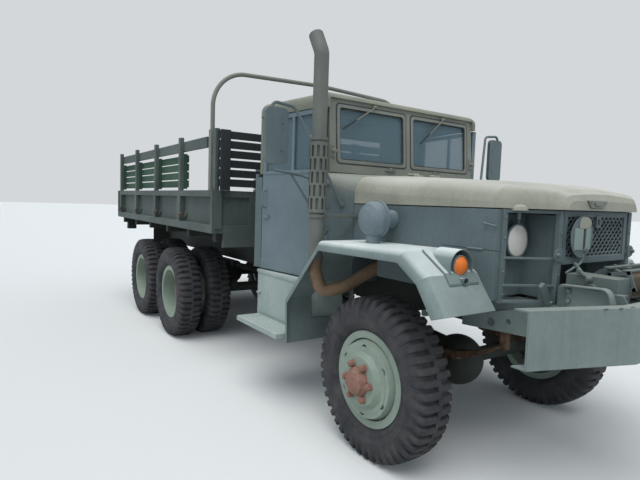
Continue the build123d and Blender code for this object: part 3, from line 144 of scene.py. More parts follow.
# Painted steel, brushed or sprayed in army green over many years: faded and chalky in patches, chipped to
# primer at edges, with dust on what faces up, laid on thick as painted top light on some, and rain streaks
# down the sides.
def painted_steel(
    name, fresh, faded, chipped, dust_and_top_light="#b9b5a6", dust_and_top_light_amount=0.45, streaky=0.5, worn=0.5, rough=0.62, paler_top=None,
):
    material, tree, output = new_material(name)
    place = add(tree, "ShaderNodeTexCoord").outputs["Object"]
    facing = add(tree, "ShaderNodeNewGeometry")

    # Faded patches about 0.6 m across, softer and larger than anything drawn on the sheet metal.
    patches = add(
        tree, "ShaderNodeTexNoise", {"Vector": place, "Scale": 1.7, "Detail": 5.0, "Roughness": 0.62},
    )
    patch_mask = add(tree, "ShaderNodeMapRange", {0: patches.outputs["Fac"], 1: 0.36, 2: 0.66})
    colour = add(
        tree, "ShaderNodeMix", {0: patch_mask.outputs[0], 6: linear(fresh), 7: linear(faded)},
        data_type="RGBA",
    )

    # Cloudy mottling at 25 mm, as roller and brush work leave it.
    mottle = add(
        tree, "ShaderNodeTexNoise", {"Vector": place, "Scale": 40.0, "Detail": 4.0, "Roughness": 0.7},
    )
    mottle_value = add(
        tree, "ShaderNodeMapRange", {0: mottle.outputs["Fac"], 1: 0.25, 2: 0.75, 3: 0.9, 4: 1.08},
    )
    colour = add(
        tree, "ShaderNodeHueSaturation", {"Value": mottle_value.outputs[0], "Color": colour.outputs[2]},
    )

    # Rain streaks: noise drawn out downwards, 20 to 40 mm wide and up to half a metre long.
    drawn = add(tree, "ShaderNodeMapping", {"Vector": place, "Scale": (26.0, 26.0, 1.6)})
    streaks = add(
        tree, "ShaderNodeTexNoise",
        {"Vector": drawn.outputs[0], "Scale": 1.0, "Detail": 6.0, "Roughness": 0.65},
    )
    streak_mask = add(tree, "ShaderNodeMapRange", {0: streaks.outputs["Fac"], 1: 0.52, 2: 0.78, 4: streaky})
    darker = add(
        tree, "ShaderNodeHueSaturation", {"Value": 0.62, "Saturation": 0.9, "Color": colour.outputs[0]},
    )
    colour = add(
        tree, "ShaderNodeMix", {0: streak_mask.outputs[0], 6: colour.outputs[0], 7: darker.outputs[0]},
        data_type="RGBA",
    )

    # Edges worn by hands and boots: where a 5 mm rounding of the corner turns away from the flat face.
    rounded = add(tree, "ShaderNodeBevel", {"Radius": 0.005}, samples=4)
    same = add(
        tree, "ShaderNodeVectorMath", {0: rounded.outputs[0], 1: facing.outputs["Normal"]},
        operation="DOT_PRODUCT",
    )
    edge = add(tree, "ShaderNodeMapRange", {0: same.outputs["Value"], 1: 0.995, 2: 0.86, 4: 1.0})
    flecks = add(
        tree, "ShaderNodeTexNoise", {"Vector": place, "Scale": 95.0, "Detail": 5.0, "Roughness": 0.7},
    )
    edge_flecks = add(
        tree, "ShaderNodeMath", {0: edge.outputs[0], 1: flecks.outputs["Fac"]}, operation="MULTIPLY",
    )
    edge_mask = add(tree, "ShaderNodeMapRange", {0: edge_flecks.outputs[0], 1: 0.34, 2: 0.62, 4: worn})
    chips = add(
        tree, "ShaderNodeMapRange", {0: flecks.outputs["Fac"], 1: 0.73 - 0.04 * worn, 2: 0.76, 4: worn},
    )
    wear = add(tree, "ShaderNodeMath", {0: edge_mask.outputs[0], 1: chips.outputs[0]}, operation="MAXIMUM")
    colour = add(
        tree, "ShaderNodeMix", {0: wear.outputs[0], 6: colour.outputs[2], 7: linear(chipped)},
        data_type="RGBA",
    )

    # Road dust lies on what faces up, thinner and broken where it has been wiped. Where it is laid on thick
    # and pale it also paints the top light: up-facing faces lighter because the light falls from above.
    axes = add(tree, "ShaderNodeSeparateXYZ", {0: facing.outputs["Normal"]})
    level = add(tree, "ShaderNodeMapRange", {0: axes.outputs["Z"], 1: 0.5, 2: 1.0, 4: dust_and_top_light_amount})
    dust_and_top_light_mask = add(
        tree, "ShaderNodeMath", {0: level.outputs[0], 1: patches.outputs["Fac"]}, operation="MULTIPLY",
    )
    colour = add(
        tree, "ShaderNodeMix", {0: dust_and_top_light_mask.outputs[0], 6: colour.outputs[2], 7: linear(dust_and_top_light)},
        data_type="RGBA",
    )

    # A paler top is a colour laid over the paint forward of a given X and growing between two heights. On the
    # cowl it is a painted highlight where the top light falls; on the frame's horns it pales their front
    # upwards.
    if paler_top:
        where = add(tree, "ShaderNodeSeparateXYZ", {0: place})
        forward = add(
            tree, "ShaderNodeMapRange", {0: where.outputs["X"], 1: paler_top[1] - 0.05, 2: paler_top[1] + 0.05},
        )
        high = add(tree, "ShaderNodeMapRange", {0: where.outputs["Z"], 1: paler_top[2], 2: paler_top[3]})
        paler_top_share = add(
            tree, "ShaderNodeMath", {0: forward.outputs[0], 1: high.outputs[0]}, operation="MULTIPLY",
        )
        broken = add(
            tree, "ShaderNodeMath", {0: paler_top_share.outputs[0], 1: mottle_value.outputs[0]},
            operation="MULTIPLY", use_clamp=True,
        )
        colour = add(
            tree, "ShaderNodeMix", {0: broken.outputs[0], 6: colour.outputs[2], 7: linear(paler_top[0])},
            data_type="RGBA",
        )

    # Dents 200 mm wide and about 1 mm deep, and an orange-peel skin of 3 mm.
    dents = add(tree, "ShaderNodeTexNoise", {"Vector": place, "Scale": 5.0, "Detail": 1.0})
    dented = add(
        tree, "ShaderNodeBump",
        {"Height": dents.outputs["Fac"], "Distance": 0.006, "Strength": 0.5, "Normal": rounded.outputs[0]},
    )
    peel = add(tree, "ShaderNodeTexNoise", {"Vector": place, "Scale": 320.0, "Detail": 2.0})
    skin = add(
        tree, "ShaderNodeBump",
        {"Height": peel.outputs["Fac"], "Distance": 0.0006, "Strength": 0.35, "Normal": dented.outputs[0]},
    )
    gloss = add(tree, "ShaderNodeMapRange", {0: mottle.outputs["Fac"], 3: rough - 0.08, 4: rough + 0.14})
    paint = add(
        tree, "ShaderNodeBsdfPrincipled",
        {"Base Color": colour.outputs[2], "Roughness": gloss.outputs[0], "Normal": skin.outputs[0]},
    )
    tree.links.new(paint.outputs[0], output.inputs[0])
    return material


body_paint = painted_steel(
    "matt_green_paint_on_body", "#586668", "#677577", "#8d9794", dust_and_top_light="#a9aba1", streaky=0.35, dust_and_top_light_amount=0.5,
)
door_paint = painted_steel(
    "matt_green_paint_on_doors", "#65747a", "#728186", "#8d9794", streaky=0.3, dust_and_top_light_amount=0.5,
)
frame_paint = painted_steel(
    "brushed_grey_paint_on_frames", "#73756c", "#84867c", "#565850", streaky=0.4, worn=0.6,
)
horn_paint = painted_steel(
    "chassis_paint_paler_on_horns", "#2b302b", "#3b403a", "#5a4434", dust_and_top_light="#7d776a", worn=0.8, rough=0.72,
    paler_top=("#66716f", 2.55, 0.50, 0.86),
)
chassis_paint = painted_steel(
    "worn_green_paint_on_chassis", "#2b302b", "#3b403a", "#5a4434", dust_and_top_light="#7d776a", worn=0.8, rough=0.72,
)
bumper_paint = painted_steel(
    "scuffed_paint_on_bumper", "#74817e", "#85918d", "#4c5250", streaky=0.4, worn=0.9,
)
winch_paint = painted_steel("worn_paint_on_winch", "#55625f", "#697571", "#3f4544", worn=0.8)
# Its pale dust, laid on thick, is partly painted top light: it lightens the hood's top more than its nose.
hood_paint = painted_steel(
    "sun_bleached_paint_on_hood", "#949485", "#a9a899", "#6e705f", dust_and_top_light="#d3d1c6", dust_and_top_light_amount=1.1, streaky=0.25,
    worn=0.35,
)
hardtop_paint = painted_steel(
    "sun_bleached_paint_on_roof", "#75786b", "#868776", "#595d52", streaky=0.4, worn=0.35,
)
# Its near-white dust, laid on thick, is partly painted top light on the fenders' tops.
pale_paint = painted_steel(
    "chalky_pale_paint_on_fenders", "#6a7775", "#7c8b88", "#566060", dust_and_top_light="#e0e6e3", dust_and_top_light_amount=1.55,
    streaky=0.3, worn=0.5,
)
box_paint = painted_steel(
    "chalky_paint_on_boxes_and_steps", "#92a19c", "#a6b4ae", "#626c68", dust_and_top_light="#cfd6d0", dust_and_top_light_amount=0.6,
    streaky=0.35, worn=0.5,
)
# The cowl's top is paler: a painted highlight where the light falls on it from above.
cab_paint = painted_steel(
    "green_paint_with_painted_highlight_on_the_cowl", "#586668", "#677577", "#8d9794", dust_and_top_light="#a9aba1", streaky=0.35,
    dust_and_top_light_amount=0.5, paler_top=("#93958a", 1.40, 1.60, 1.76),
)
intake_paint = painted_steel(
    "chalky_paint_on_air_intake", "#66747a", "#748287", "#525c5e", dust_and_top_light="#aab2ae", dust_and_top_light_amount=0.6, streaky=0.2,
    worn=0.3,
)
bed_paint = painted_steel(
    "worn_green_paint_on_bed", "#48534f", "#59645f", "#39403e", dust_and_top_light="#99a096", streaky=0.7, worn=0.7,
)
stack_paint = painted_steel(
    "heat_faded_paint_on_stack", "#5d625b", "#6e726a", "#5c4a3b", streaky=0.5, worn=0.6,
)

# Frame, axles and running gear: welded and riveted steel under dark green paint, dusty from the road.
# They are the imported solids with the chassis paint; the engine is cast iron, the springs are bare rust.
rusty_steel, tree, output = new_material("rusted_spring_steel")
place = add(tree, "ShaderNodeTexCoord").outputs["Object"]
scale_spots = add(
    tree, "ShaderNodeTexNoise", {"Vector": place, "Scale": 22.0, "Detail": 8.0, "Roughness": 0.7},
)
rust = add(tree, "ShaderNodeValToRGB", {0: scale_spots.outputs["Fac"]})
rust.color_ramp.elements[0].position = 0.32
rust.color_ramp.elements[0].color = linear("#2f2520")
rust.color_ramp.elements[1].position = 0.7
rust.color_ramp.elements[1].color = linear("#7c5c45")
middle_tone = rust.color_ramp.elements.new(0.5)
middle_tone.color = linear("#54402f")
pits = add(tree, "ShaderNodeTexNoise", {"Vector": place, "Scale": 260.0, "Detail": 3.0})
pitted = add(tree, "ShaderNodeBump", {"Height": pits.outputs["Fac"], "Distance": 0.001, "Strength": 0.6})
rusted = add(
    tree, "ShaderNodeBsdfPrincipled",
    {"Base Color": rust.outputs[0], "Roughness": 0.85, "Normal": pitted.outputs[0]},
)
tree.links.new(rusted.outputs[0], output.inputs[0])


def mottled(name, dark, light, scale, detail, rough, broken=0.5, metallic=0.0, raised=None):
    """A finish that drifts between two tones; raised is how deep and how strongly its spots stand out."""
    material, tree, output = new_material(name)
    place = add(tree, "ShaderNodeTexCoord").outputs["Object"]
    spots = add(
        tree, "ShaderNodeTexNoise",
        {"Vector": place, "Scale": scale, "Detail": detail, "Roughness": broken},
    )
    tone = add(
        tree, "ShaderNodeMix", {0: spots.outputs["Fac"], 6: linear(dark), 7: linear(light)},
        data_type="RGBA",
    )
    surface = {"Base Color": tone.outputs[2], "Metallic": metallic, "Roughness": rough}
    if raised:
        skin = add(
            tree, "ShaderNodeBump",
            {"Height": spots.outputs["Fac"], "Distance": raised[0], "Strength": raised[1]},
        )
        surface["Normal"] = skin.outputs[0]
    shader = add(tree, "ShaderNodeBsdfPrincipled", surface)
    tree.links.new(shader.outputs[0], output.inputs[0])
    return material


# Sand-cast iron keeps the grain of its mould, 5 mm across, which dulls it evenly.
cast_iron = mottled("dull_cast_iron", "#1d1f1e", "#343634", 180.0, 4.0, 0.7, raised=(0.001, 0.5))


def dress(material, *nodes):
    """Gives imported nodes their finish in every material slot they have."""
    for node in nodes:
        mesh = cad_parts[node].data
        if not mesh.materials:
            mesh.materials.append(material)
        for i in range(len(mesh.materials)):
            mesh.materials[i] = material


dress(horn_paint, "frame_rails")
dress(
    chassis_paint, "rear_hooks", "front_axle", "knuckle_right", "knuckle_left", "tie_rod", "rear_axles",
    "drive_line", "fuel_tank", "seat_frames", "bed_frame",
)
dress(rusty_steel, "front_springs", "bogie_springs")
dress(cast_iron, "engine_block")
dress(bumper_paint, "front_bumper")
dress(winch_paint, "winch")


def piece(name, mesh, material, body, smooth=None):
    """A new part of the truck from a bmesh, riding on a body, with the given finish."""
    data = bpy.data.meshes.new(name)
    bmesh.ops.recalc_face_normals(mesh, faces=mesh.faces)
    mesh.to_mesh(data)
    mesh.free()
    data.materials.append(material)
    made = bpy.data.objects.new(name, data)
    bpy.context.scene.collection.objects.link(made)
    if smooth:
        for polygon in data.polygons:
            polygon.use_smooth = True
        data.set_sharp_from_angle(angle=math.radians(smooth))
    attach(made, body)
    return made


def bolt(mesh, place, outward, across, height=0.6):
    """A hexagon head with a domed face, standing on a surface at place and pointing outward."""
    outward = Vector(outward).normalized()
    side = outward.orthogonal().normalized()
    other = outward.cross(side)
    reach = across / math.sqrt(3)
    rings = []
    for lift, radius in ((-0.05, 1.0), (height * 0.75, 1.0), (height, 0.8)):
        ring = []
        for i in range(6):
            angle = math.radians(60 * i)
            offset = side * math.cos(angle) + other * math.sin(angle)
            ring.append(mesh.verts.new(Vector(place) + outward * across * lift + offset * reach * radius))
        rings.append(ring)
    for low, high in zip(rings, rings[1:]):
        for i in range(6):
            mesh.faces.new((low[i], low[(i + 1) % 6], high[(i + 1) % 6], high[i]))
    mesh.faces.new(rings[-1])


front_axle = 2.248


def at(x, y, z):
    """A point measured forward of the front axle, as the truck was taken off the picture."""
    return Vector((x + front_axle, y, z))


def block(mesh, low, high, chamfer=0.0015):
    """A box between two corners with its edges broken."""
    low = Vector(low)
    high = Vector(high)
    made = bmesh.ops.create_cube(mesh, size=1.0)["verts"]
    for vert in made:
        vert.co = Vector([(a + b) / 2 + c * (b - a) for a, b, c in zip(low, high, vert.co)])
    edges = list({edge for vert in made for edge in vert.link_edges})
    bmesh.ops.bevel(mesh, geom=edges, offset=chamfer, segments=2, profile=0.6, affect="EDGES")


def plate(mesh, outline, thickness, chamfer=0.0008):
    """A flat plate: an outline in one plane carried through its thickness, with its edges broken."""
    low = [mesh.verts.new(point) for point in outline]
    high = [mesh.verts.new(Vector(point) + Vector(thickness)) for point in outline]
    faces = [mesh.faces.new(low), mesh.faces.new(list(reversed(high)))]
    for i in range(len(low)):
        j = (i + 1) % len(low)
        faces.append(mesh.faces.new((low[j], low[i], high[i], high[j])))
    edges = list({edge for face in faces for edge in face.edges})
    bmesh.ops.bevel(mesh, geom=edges, offset=chamfer, segments=1, affect="EDGES")


def sweep(mesh, path, radius, around=12):
    """A round section carried along a path, its two ends rounded off."""
    first = (path[0] - path[1]).normalized()
    last = (path[-1] - path[-2]).normalized()
    stations = [(path[0] + first * radius * 0.4, radius * 0.6)]
    stations += [(point, radius) for point in path]
    stations.append((path[-1] + last * radius * 0.4, radius * 0.6))
    side = first.orthogonal().normalized()
    rings = []
    for i, (point, size) in enumerate(stations):
        ahead = (stations[min(i + 1, len(stations) - 1)][0] - stations[max(i - 1, 0)][0]).normalized()
        side = (side - ahead * side.dot(ahead)).normalized()
        other = ahead.cross(side)
        rings.append([
            mesh.verts.new(point + (side * math.cos(a) + other * math.sin(a)) * size)
            for a in (2 * math.pi * k / around for k in range(around))
        ])
    for low, high in zip(rings, rings[1:]):
        for i in range(around):
            j = (i + 1) % around
            mesh.faces.new((low[i], low[j], high[j], high[i]))
    mesh.faces.new(rings[0])
    mesh.faces.new(rings[-1])


def rod(mesh, points, radius, bend=0.03, around=12):
    """A round rod through points, its corners bent on smooth curves."""
    path = [Vector(points[0])]
    for before, corner, after in zip(points, points[1:], points[2:]):
        corner = Vector(corner)
        back = Vector(before) - corner
        ahead = Vector(after) - corner
        reach = min(bend, back.length * 0.45, ahead.length * 0.45)
        start = corner + back.normalized() * reach
        end = corner + ahead.normalized() * reach
        for i in range(7):
            t = i / 6
            path.append(start * (1 - t) ** 2 + corner * 2 * t * (1 - t) + end * t ** 2)
    path.append(Vector(points[-1]))
    sweep(mesh, path, radius, around)


# Tyres: 9.00-20 cross-country rubber with straight bars from the middle of the tread over each shoulder.
# Each is one vulcanised casing; the bars of the two sides stand half a pitch apart, rims show inside.
rubber, tree, output = new_material("dusty_tyre_rubber")
place = add(tree, "ShaderNodeTexCoord").outputs["Object"]
road_film = add(tree, "ShaderNodeTexNoise", {"Vector": place, "Scale": 9.0, "Detail": 6.0, "Roughness": 0.65})
film_mask = add(tree, "ShaderNodeMapRange", {0: road_film.outputs["Fac"], 1: 0.35, 2: 0.75})
tone = add(
    tree, "ShaderNodeMix", {0: film_mask.outputs[0], 6: linear("#2c2e33"), 7: linear("#504e4d")},
    data_type="RGBA",
)
crazing = add(tree, "ShaderNodeTexNoise", {"Vector": place, "Scale": 220.0, "Detail": 4.0, "Roughness": 0.7})
crazed = add(tree, "ShaderNodeBump", {"Height": crazing.outputs["Fac"], "Distance": 0.0012, "Strength": 0.5})
tyre_shader = add(
    tree, "ShaderNodeBsdfPrincipled",
    {"Base Color": tone.outputs[2], "Roughness": 0.82, "Normal": crazed.outputs[0]},
)
tree.links.new(tyre_shader.outputs[0], output.inputs[0])

bars = 46
# Distance from the tyre's middle, radius of the casing, radius of the bars' top, out to the side wall.
casing = (
    (0.0, 0.484, 0.505), (0.03, 0.4835, 0.5045), (0.062, 0.481, 0.5030),
    (0.088, 0.475, 0.4995), (0.103, 0.466, 0.4945), (0.1125, 0.452, 0.481),
    (0.1185, 0.434, 0.462), (0.1225, 0.418, 0.438), (0.1248, 0.402, 0.415),
)
side_wall = (
    (0.1262, 0.392), (0.1276, 0.375), (0.1262, 0.352), (0.121, 0.331), (0.112, 0.315), (0.1000, 0.3055),
    (0.092, 0.3000), (0.087, 0.298),
)


def tyre_mesh():
    """One tyre about the origin, turning on Y: its casing, the bars of both sides and the side walls' ribs."""
    mesh = bmesh.new()
    half = [(w, low) for w, low, top in casing] + list(side_wall)
    section = [(-w, r) for w, r in reversed(half[1:])] + half
    around = bars * 4
    rings = []
    for w, r in section:
        ring = []
        for i in range(around):
            angle = 2 * math.pi * i / around
            ring.append(mesh.verts.new((r * math.cos(angle), w, r * math.sin(angle))))
        rings.append(ring)
    for low, high in zip(rings, rings[1:]):
        for i in range(around):
            j = (i + 1) % around
            mesh.faces.new((low[i], low[j], high[j], high[i]))
    pitch = 2 * math.pi / bars
    for side in (-1, 1):
        for bar in range(bars):
            middle = (bar + 0.25 * side) * pitch
            stations = []
            for k, (w, low, top) in enumerate(casing):
                width = 0.60 - 0.012 * k if k < 5 else 0.52 - 0.05 * (k - 5)
                lean = 0.0 if k < 3 else 0.010 * (k - 2)
                w = w if k else -0.012
                ring = []
                for share, height in (
                    (-0.64, 0.0), (-0.5, 0.82), (-0.40, 1.0), (0.40, 1.0), (0.5, 0.82), (0.64, 0.0),
                ):
                    angle = middle + (share * width + lean) * pitch
                    r = low - 0.004 + (top - low + 0.004) * height
                    ring.append(
                        mesh.verts.new(
                            (r * math.cos(angle), side * (w + 0.0015 * height * (k > 4)), r * math.sin(angle))
                        )
                    )
                stations.append(ring)
            for a, b in zip(stations, stations[1:]):
                for i in range(5):
                    mesh.faces.new((a[i], a[i + 1], b[i + 1], b[i]))
            mesh.faces.new(stations[0])
            mesh.faces.new(stations[-1])
    # Two thin moulded ribs ring each side wall.
    for side in (-1, 1):
        for radius, w in ((0.385, 0.1272), (0.337, 0.1238)):
            rings = []
            for dr, out in ((-0.003, -0.001), (-0.0015, 0.0016), (0.0015, 0.0016), (0.003, -0.001)):
                rings.append([
                    mesh.verts.new(
                        ((radius + dr) * math.cos(a), side * (w - 0.0008 + out), (radius + dr) * math.sin(a))
                    )
                    for a in (2 * math.pi * i / 96 for i in range(96))
                ])
            for low, high in zip(rings, rings[1:]):
                for i in range(96):
                    mesh.faces.new((low[i], low[(i + 1) % 96], high[(i + 1) % 96], high[i]))
    return mesh


axle_height = 0.505
mid_axle = -1.0545
rear_axle = -2.2735
front_row = 0.870
twin_rows = (0.735, 1.065)
wheel_places = []
for side, sign in (("right", -1), ("left", 1)):
    wheel_places.append(
        (f"front_tyre_{side}", f"front_wheel_assembly_{side}", front_axle, (sign * front_row,))
    )
    wheel_places.append(
        (f"mid_tyres_{side}", f"mid_wheel_assembly_{side}", mid_axle, [sign * row for row in twin_rows])
    )
    wheel_places.append(
        (f"rear_tyres_{side}", f"rear_wheel_assembly_{side}", rear_axle, [sign * row for row in twin_rows])
    )
for node, body, x, sides in wheel_places:
    for number, y in enumerate(sides):
        mesh = tyre_mesh()
        bmesh.ops.translate(mesh, verts=mesh.verts, vec=(x, y, axle_height))
        made = piece(f"{node}_tread_{number}", mesh, rubber, body, smooth=35)
        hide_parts(node)

# Wheels: pressed steel discs riveted into split rims, sprayed chalky light green.
# Wheel nuts and drive hubs were never repainted and are pink-brown with rust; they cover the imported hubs.
wheel_paint = painted_steel(
    "chalky_green_paint_on_wheels", "#87968a", "#9caa9a", "#5c5a44", dust_and_top_light="#a5a896", dust_and_top_light_amount=0.3, streaky=0.3,
    worn=0.5,
)
for side in ("right", "left"):
    dress(wheel_paint, f"front_wheel_{side}", f"mid_wheels_{side}", f"rear_wheels_{side}")

# Forged steel with rust blooming through thin old primer, in spots of about 30 mm that stand out a little.
hub_rust = mottled("rusted_hub_steel", "#5d4138", "#b08372", 36.0, 7.0, 0.8, broken=0.7, raised=(0.0015, 0.6))


def lathe(mesh, section, origin, axis, around=48, close=False):
    """Turns a section of (distance along axis, radius) about an axis through origin."""
    axis = Vector(axis).normalized()
    side = axis.orthogonal().normalized()
    other = axis.cross(side)
    rings = []
    for reach, radius in section:
        centre = Vector(origin) + axis * reach
        if radius < 1e-6:
            rings.append([mesh.verts.new(centre)])
            continue
        rings.append([
            mesh.verts.new(centre + (side * math.cos(a) + other * math.sin(a)) * radius)
            for a in (2 * math.pi * i / around for i in range(around))
        ])
    pairs = list(zip(rings, rings[1:]))
    if close:
        pairs.append((rings[-1], rings[0]))
    for low, high in pairs:
        for i in range(around):
            j = (i + 1) % around
            corners = [low[i % len(low)], low[j % len(low)], high[j % len(high)], high[i % len(high)]]
            corners = list(dict.fromkeys(corners))
            if len(corners) > 2:
                mesh.faces.new(corners)


nut_circle = 0.111
front_hub_face = 1.0255
front_hub_length = 0.062
rear_hub_face = 0.890
rear_hub_length = 0.19
for side, sign in (("right", -1), ("left", 1)):
    hubs = [(f"front_wheel_assembly_{side}", front_axle, sign * front_hub_face, front_hub_length)]
    hubs.append((f"mid_wheel_assembly_{side}", mid_axle, sign * rear_hub_face, rear_hub_length))
    hubs.append((f"rear_wheel_assembly_{side}", rear_axle, sign * rear_hub_face, rear_hub_length))
    for body, x, y, length in hubs:
        mesh = bmesh.new()
        face = (x, y, axle_height)
        outward = (0, sign, 0)
        if length == front_hub_length:
            nose = [
                (0.0, 0.0895), (0.4, 0.0885), (0.55, 0.082), (0.6, 0.077), (0.86, 0.070), (1.0, 0.056),
                (1.035, 0.03), (1.04, 0.0),
            ]
        else:
            nose = [
                (0.0, 0.0895), (0.5, 0.0845), (0.6, 0.0765), (0.9, 0.068), (1.0, 0.052), (1.012, 0.02),
                (1.014, 0.0),
            ]
        lathe(mesh, [(share * length, radius) for share, radius in nose], face, outward)
        for i in range(8):
            angle = math.radians(45 * i + 20)
            rim_bolt = (
                x + 0.062 * math.cos(angle), y + sign * length * 0.86,
                axle_height + 0.062 * math.sin(angle),
            )
            bolt(mesh, rim_bolt, outward, 0.014)
        for i in range(6):
            angle = math.radians(60 * i)
            nut = (
                x + nut_circle * math.cos(angle), y + sign * 0.010,
                axle_height + nut_circle * math.sin(angle),
            )
            lathe(mesh, [(0.0, 0.024), (0.006, 0.022), (0.012, 0.02)], nut, outward, around=18)
            bolt(mesh, (nut[0], nut[1] + sign * 0.004, nut[2]), outward, 0.036, height=0.82)
            lathe(
                mesh, [(0.026, 0.0105), (0.0345, 0.0105), (0.0365, 0.008), (0.0365, 0.0)], nut, outward,
                around=12,
            )
        piece(f"hub_and_nuts_{body}", mesh, hub_rust, body, smooth=30)

# Fenders, side boxes and steps: 2 mm pressed sheet, repainted a chalky pale grey-green some time ago.
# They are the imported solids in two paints, chalkier on the boxes and steps than on the fenders.
dress(pale_paint, "fender_right", "fender_left")
dress(box_paint, "side_boxes", "steps")

# Hood, hood sides, grille and guards: pressed sheet and welded flat bar, the hood bleached by the sun, its
# top paler still with dust and painted top light.
# The fixed panels under it, doors and cab are a darker blue-green, the cowl's top with a painted highlight.
dress(body_paint, "hood_sides", "radiator_grille", "brush_guards", "mirrors")
dress(cab_paint, "cab_body")
dress(door_paint, "door_right", "door_left")
dress(frame_paint, "windshield_frame")
dress(intake_paint, "air_intake")
dress(hood_paint, "hood")
dress(hardtop_paint, "hardtop")

# Cargo bed, tailgate, stakes and bow: welded sheet steel, painted green and streaked by rain.
# The side racks carry the bed's paint, the front rack's boards are black-green, and the folded troop seats'
# slats a fresher green.
dress(bed_paint, "cargo_bed", "tailgate")
dress(frame_paint, "tarp_bow")


def painted_boards(name, fresh, faded, bare):
    """Sawn hardwood under old paint: grain of 4 mm along the board shows through, edges bare and grey."""
    material, tree, output = new_material(name)
    place = add(tree, "ShaderNodeTexCoord").outputs["Object"]
    facing = add(tree, "ShaderNodeNewGeometry")
    along = add(tree, "ShaderNodeMapping", {"Vector": place, "Scale": (3.0, 3.0, 120.0)})
    fibres = add(
        tree, "ShaderNodeTexNoise",
        {"Vector": along.outputs[0], "Scale": 2.0, "Detail": 8.0, "Roughness": 0.7},
    )
    patches = add(tree, "ShaderNodeTexNoise", {"Vector": place, "Scale": 2.6, "Detail": 5.0})
    mask = add(tree, "ShaderNodeMapRange", {0: patches.outputs["Fac"], 1: 0.35, 2: 0.68})
    colour = add(
        tree, "ShaderNodeMix", {0: mask.outputs[0], 6: linear(fresh), 7: linear(faded)}, data_type="RGBA",
    )
    rounded = add(tree, "ShaderNodeBevel", {"Radius": 0.004}, samples=4)
    same = add(
        tree, "ShaderNodeVectorMath", {0: rounded.outputs[0], 1: facing.outputs["Normal"]},
        operation="DOT_PRODUCT",
    )
    edge = add(tree, "ShaderNodeMapRange", {0: same.outputs["Value"], 1: 0.99, 2: 0.85})
    cracks = add(tree, "ShaderNodeMapRange", {0: fibres.outputs["Fac"], 1: 0.60, 2: 0.72})
    worn = add(tree, "ShaderNodeMath", {0: edge.outputs[0], 1: cracks.outputs[0]}, operation="MAXIMUM")
    worn = add(tree, "ShaderNodeMath", {0: worn.outputs[0], 1: 0.45}, operation="MULTIPLY")
    colour = add(
        tree, "ShaderNodeMix", {0: worn.outputs[0], 6: colour.outputs[2], 7: linear(bare)},
        data_type="RGBA",
    )
    raised = add(
        tree, "ShaderNodeBump",
        {"Height": fibres.outputs["Fac"], "Distance": 0.0015, "Strength": 0.6, "Normal": rounded.outputs[0]},
    )
    boards = add(
        tree, "ShaderNodeBsdfPrincipled",
        {"Base Color": colour.outputs[2], "Roughness": 0.78, "Normal": raised.outputs[0]},
    )
    tree.links.new(boards.outputs[0], output.inputs[0])
    return material


rack_wood = painted_boards("black_green_paint_on_boards", "#1f2627", "#2c3435", "#4c514c")
green_wood = painted_boards("green_paint_on_slats", "#2f4a3a", "#3c5c48", "#66705f")
dress(rack_wood, "front_rack")
dress(bed_paint, "racks")
dress(green_wood, "troop_seats")

# Exhaust: the stack and its slotted shield are sheet steel in heat-faded grey-tan paint, streaked with soot;
# the pipe from the manifold is bare steel, rusted tan.
dress(stack_paint, "exhaust_stack")
pipe_rust, tree, output = new_material("tan_rust_on_exhaust_pipe")
place = add(tree, "ShaderNodeTexCoord").outputs["Object"]
heat = add(tree, "ShaderNodeTexNoise", {"Vector": place, "Scale": 7.0, "Detail": 7.0, "Roughness": 0.65})
pipe_tone = add(
    tree, "ShaderNodeMix", {0: heat.outputs["Fac"], 6: linear("#59412f"), 7: linear("#9a8266")},
    data_type="RGBA",
)
pipe_pits = add(tree, "ShaderNodeTexNoise", {"Vector": place, "Scale": 240.0, "Detail": 3.0})
pipe_skin = add(
    tree, "ShaderNodeBump", {"Height": pipe_pits.outputs["Fac"], "Distance": 0.0008, "Strength": 0.5},
)
pipe_shader = add(
    tree, "ShaderNodeBsdfPrincipled",
    {"Base Color": pipe_tone.outputs[2], "Roughness": 0.75, "Normal": pipe_skin.outputs[0]},
)
tree.links.new(pipe_shader.outputs[0], output.inputs[0])
dress(pipe_rust, "exhaust_pipe")

# Cab glass: flat laminated panes in rubber channels; their half-opaque blue-green face is partly the glass's
# tint and partly painted sky reflection. They are the imported panes, and a patchy film of dust dulls them.
window_glass, tree, output = new_material("flat_laminated_glass")
place = add(tree, "ShaderNodeTexCoord").outputs["Object"]
film = add(tree, "ShaderNodeTexNoise", {"Vector": place, "Scale": 3.0, "Detail": 6.0})
film_rough = add(tree, "ShaderNodeMapRange", {0: film.outputs["Fac"], 1: 0.4, 2: 0.8, 3: 0.02, 4: 0.16})
# The blue-green base colour is glass tint and painted sky reflection.
pane = add(
    tree, "ShaderNodeBsdfPrincipled",
    {"Base Color": linear("#6d8791"), "Roughness": film_rough.outputs[0], "IOR": 1.5, "Alpha": 0.42},
)
tree.links.new(pane.outputs[0], output.inputs[0])
dress(window_glass, "cab_glass", "door_glass_right", "door_glass_left")

# Headlamps: sealed glass units in painted pressed buckets, a screwed ring round each, hung behind the guards.
# A thin stem ties the top of each bucket to a cup under the hood's front corner.
lens_glass_with_painted_reflection, tree, output = new_material("clear_fluted_glass_with_painted_reflection")
place = add(tree, "ShaderNodeTexCoord").outputs["Object"]
haze = add(tree, "ShaderNodeTexNoise", {"Vector": place, "Scale": 45.0, "Detail": 5.0})
haze_rough = add(tree, "ShaderNodeMapRange", {0: haze.outputs["Fac"], 3: 0.02, 4: 0.12})
# Clear glass; its half-opaque near-white face is a painted reflection that keeps the lens bright.
clear = add(
    tree, "ShaderNodeBsdfPrincipled",
    {"Base Color": linear("#fdfbf7"), "Roughness": haze_rough.outputs[0], "IOR": 1.5, "Alpha": 0.38},
)
tree.links.new(clear.outputs[0], output.inputs[0])

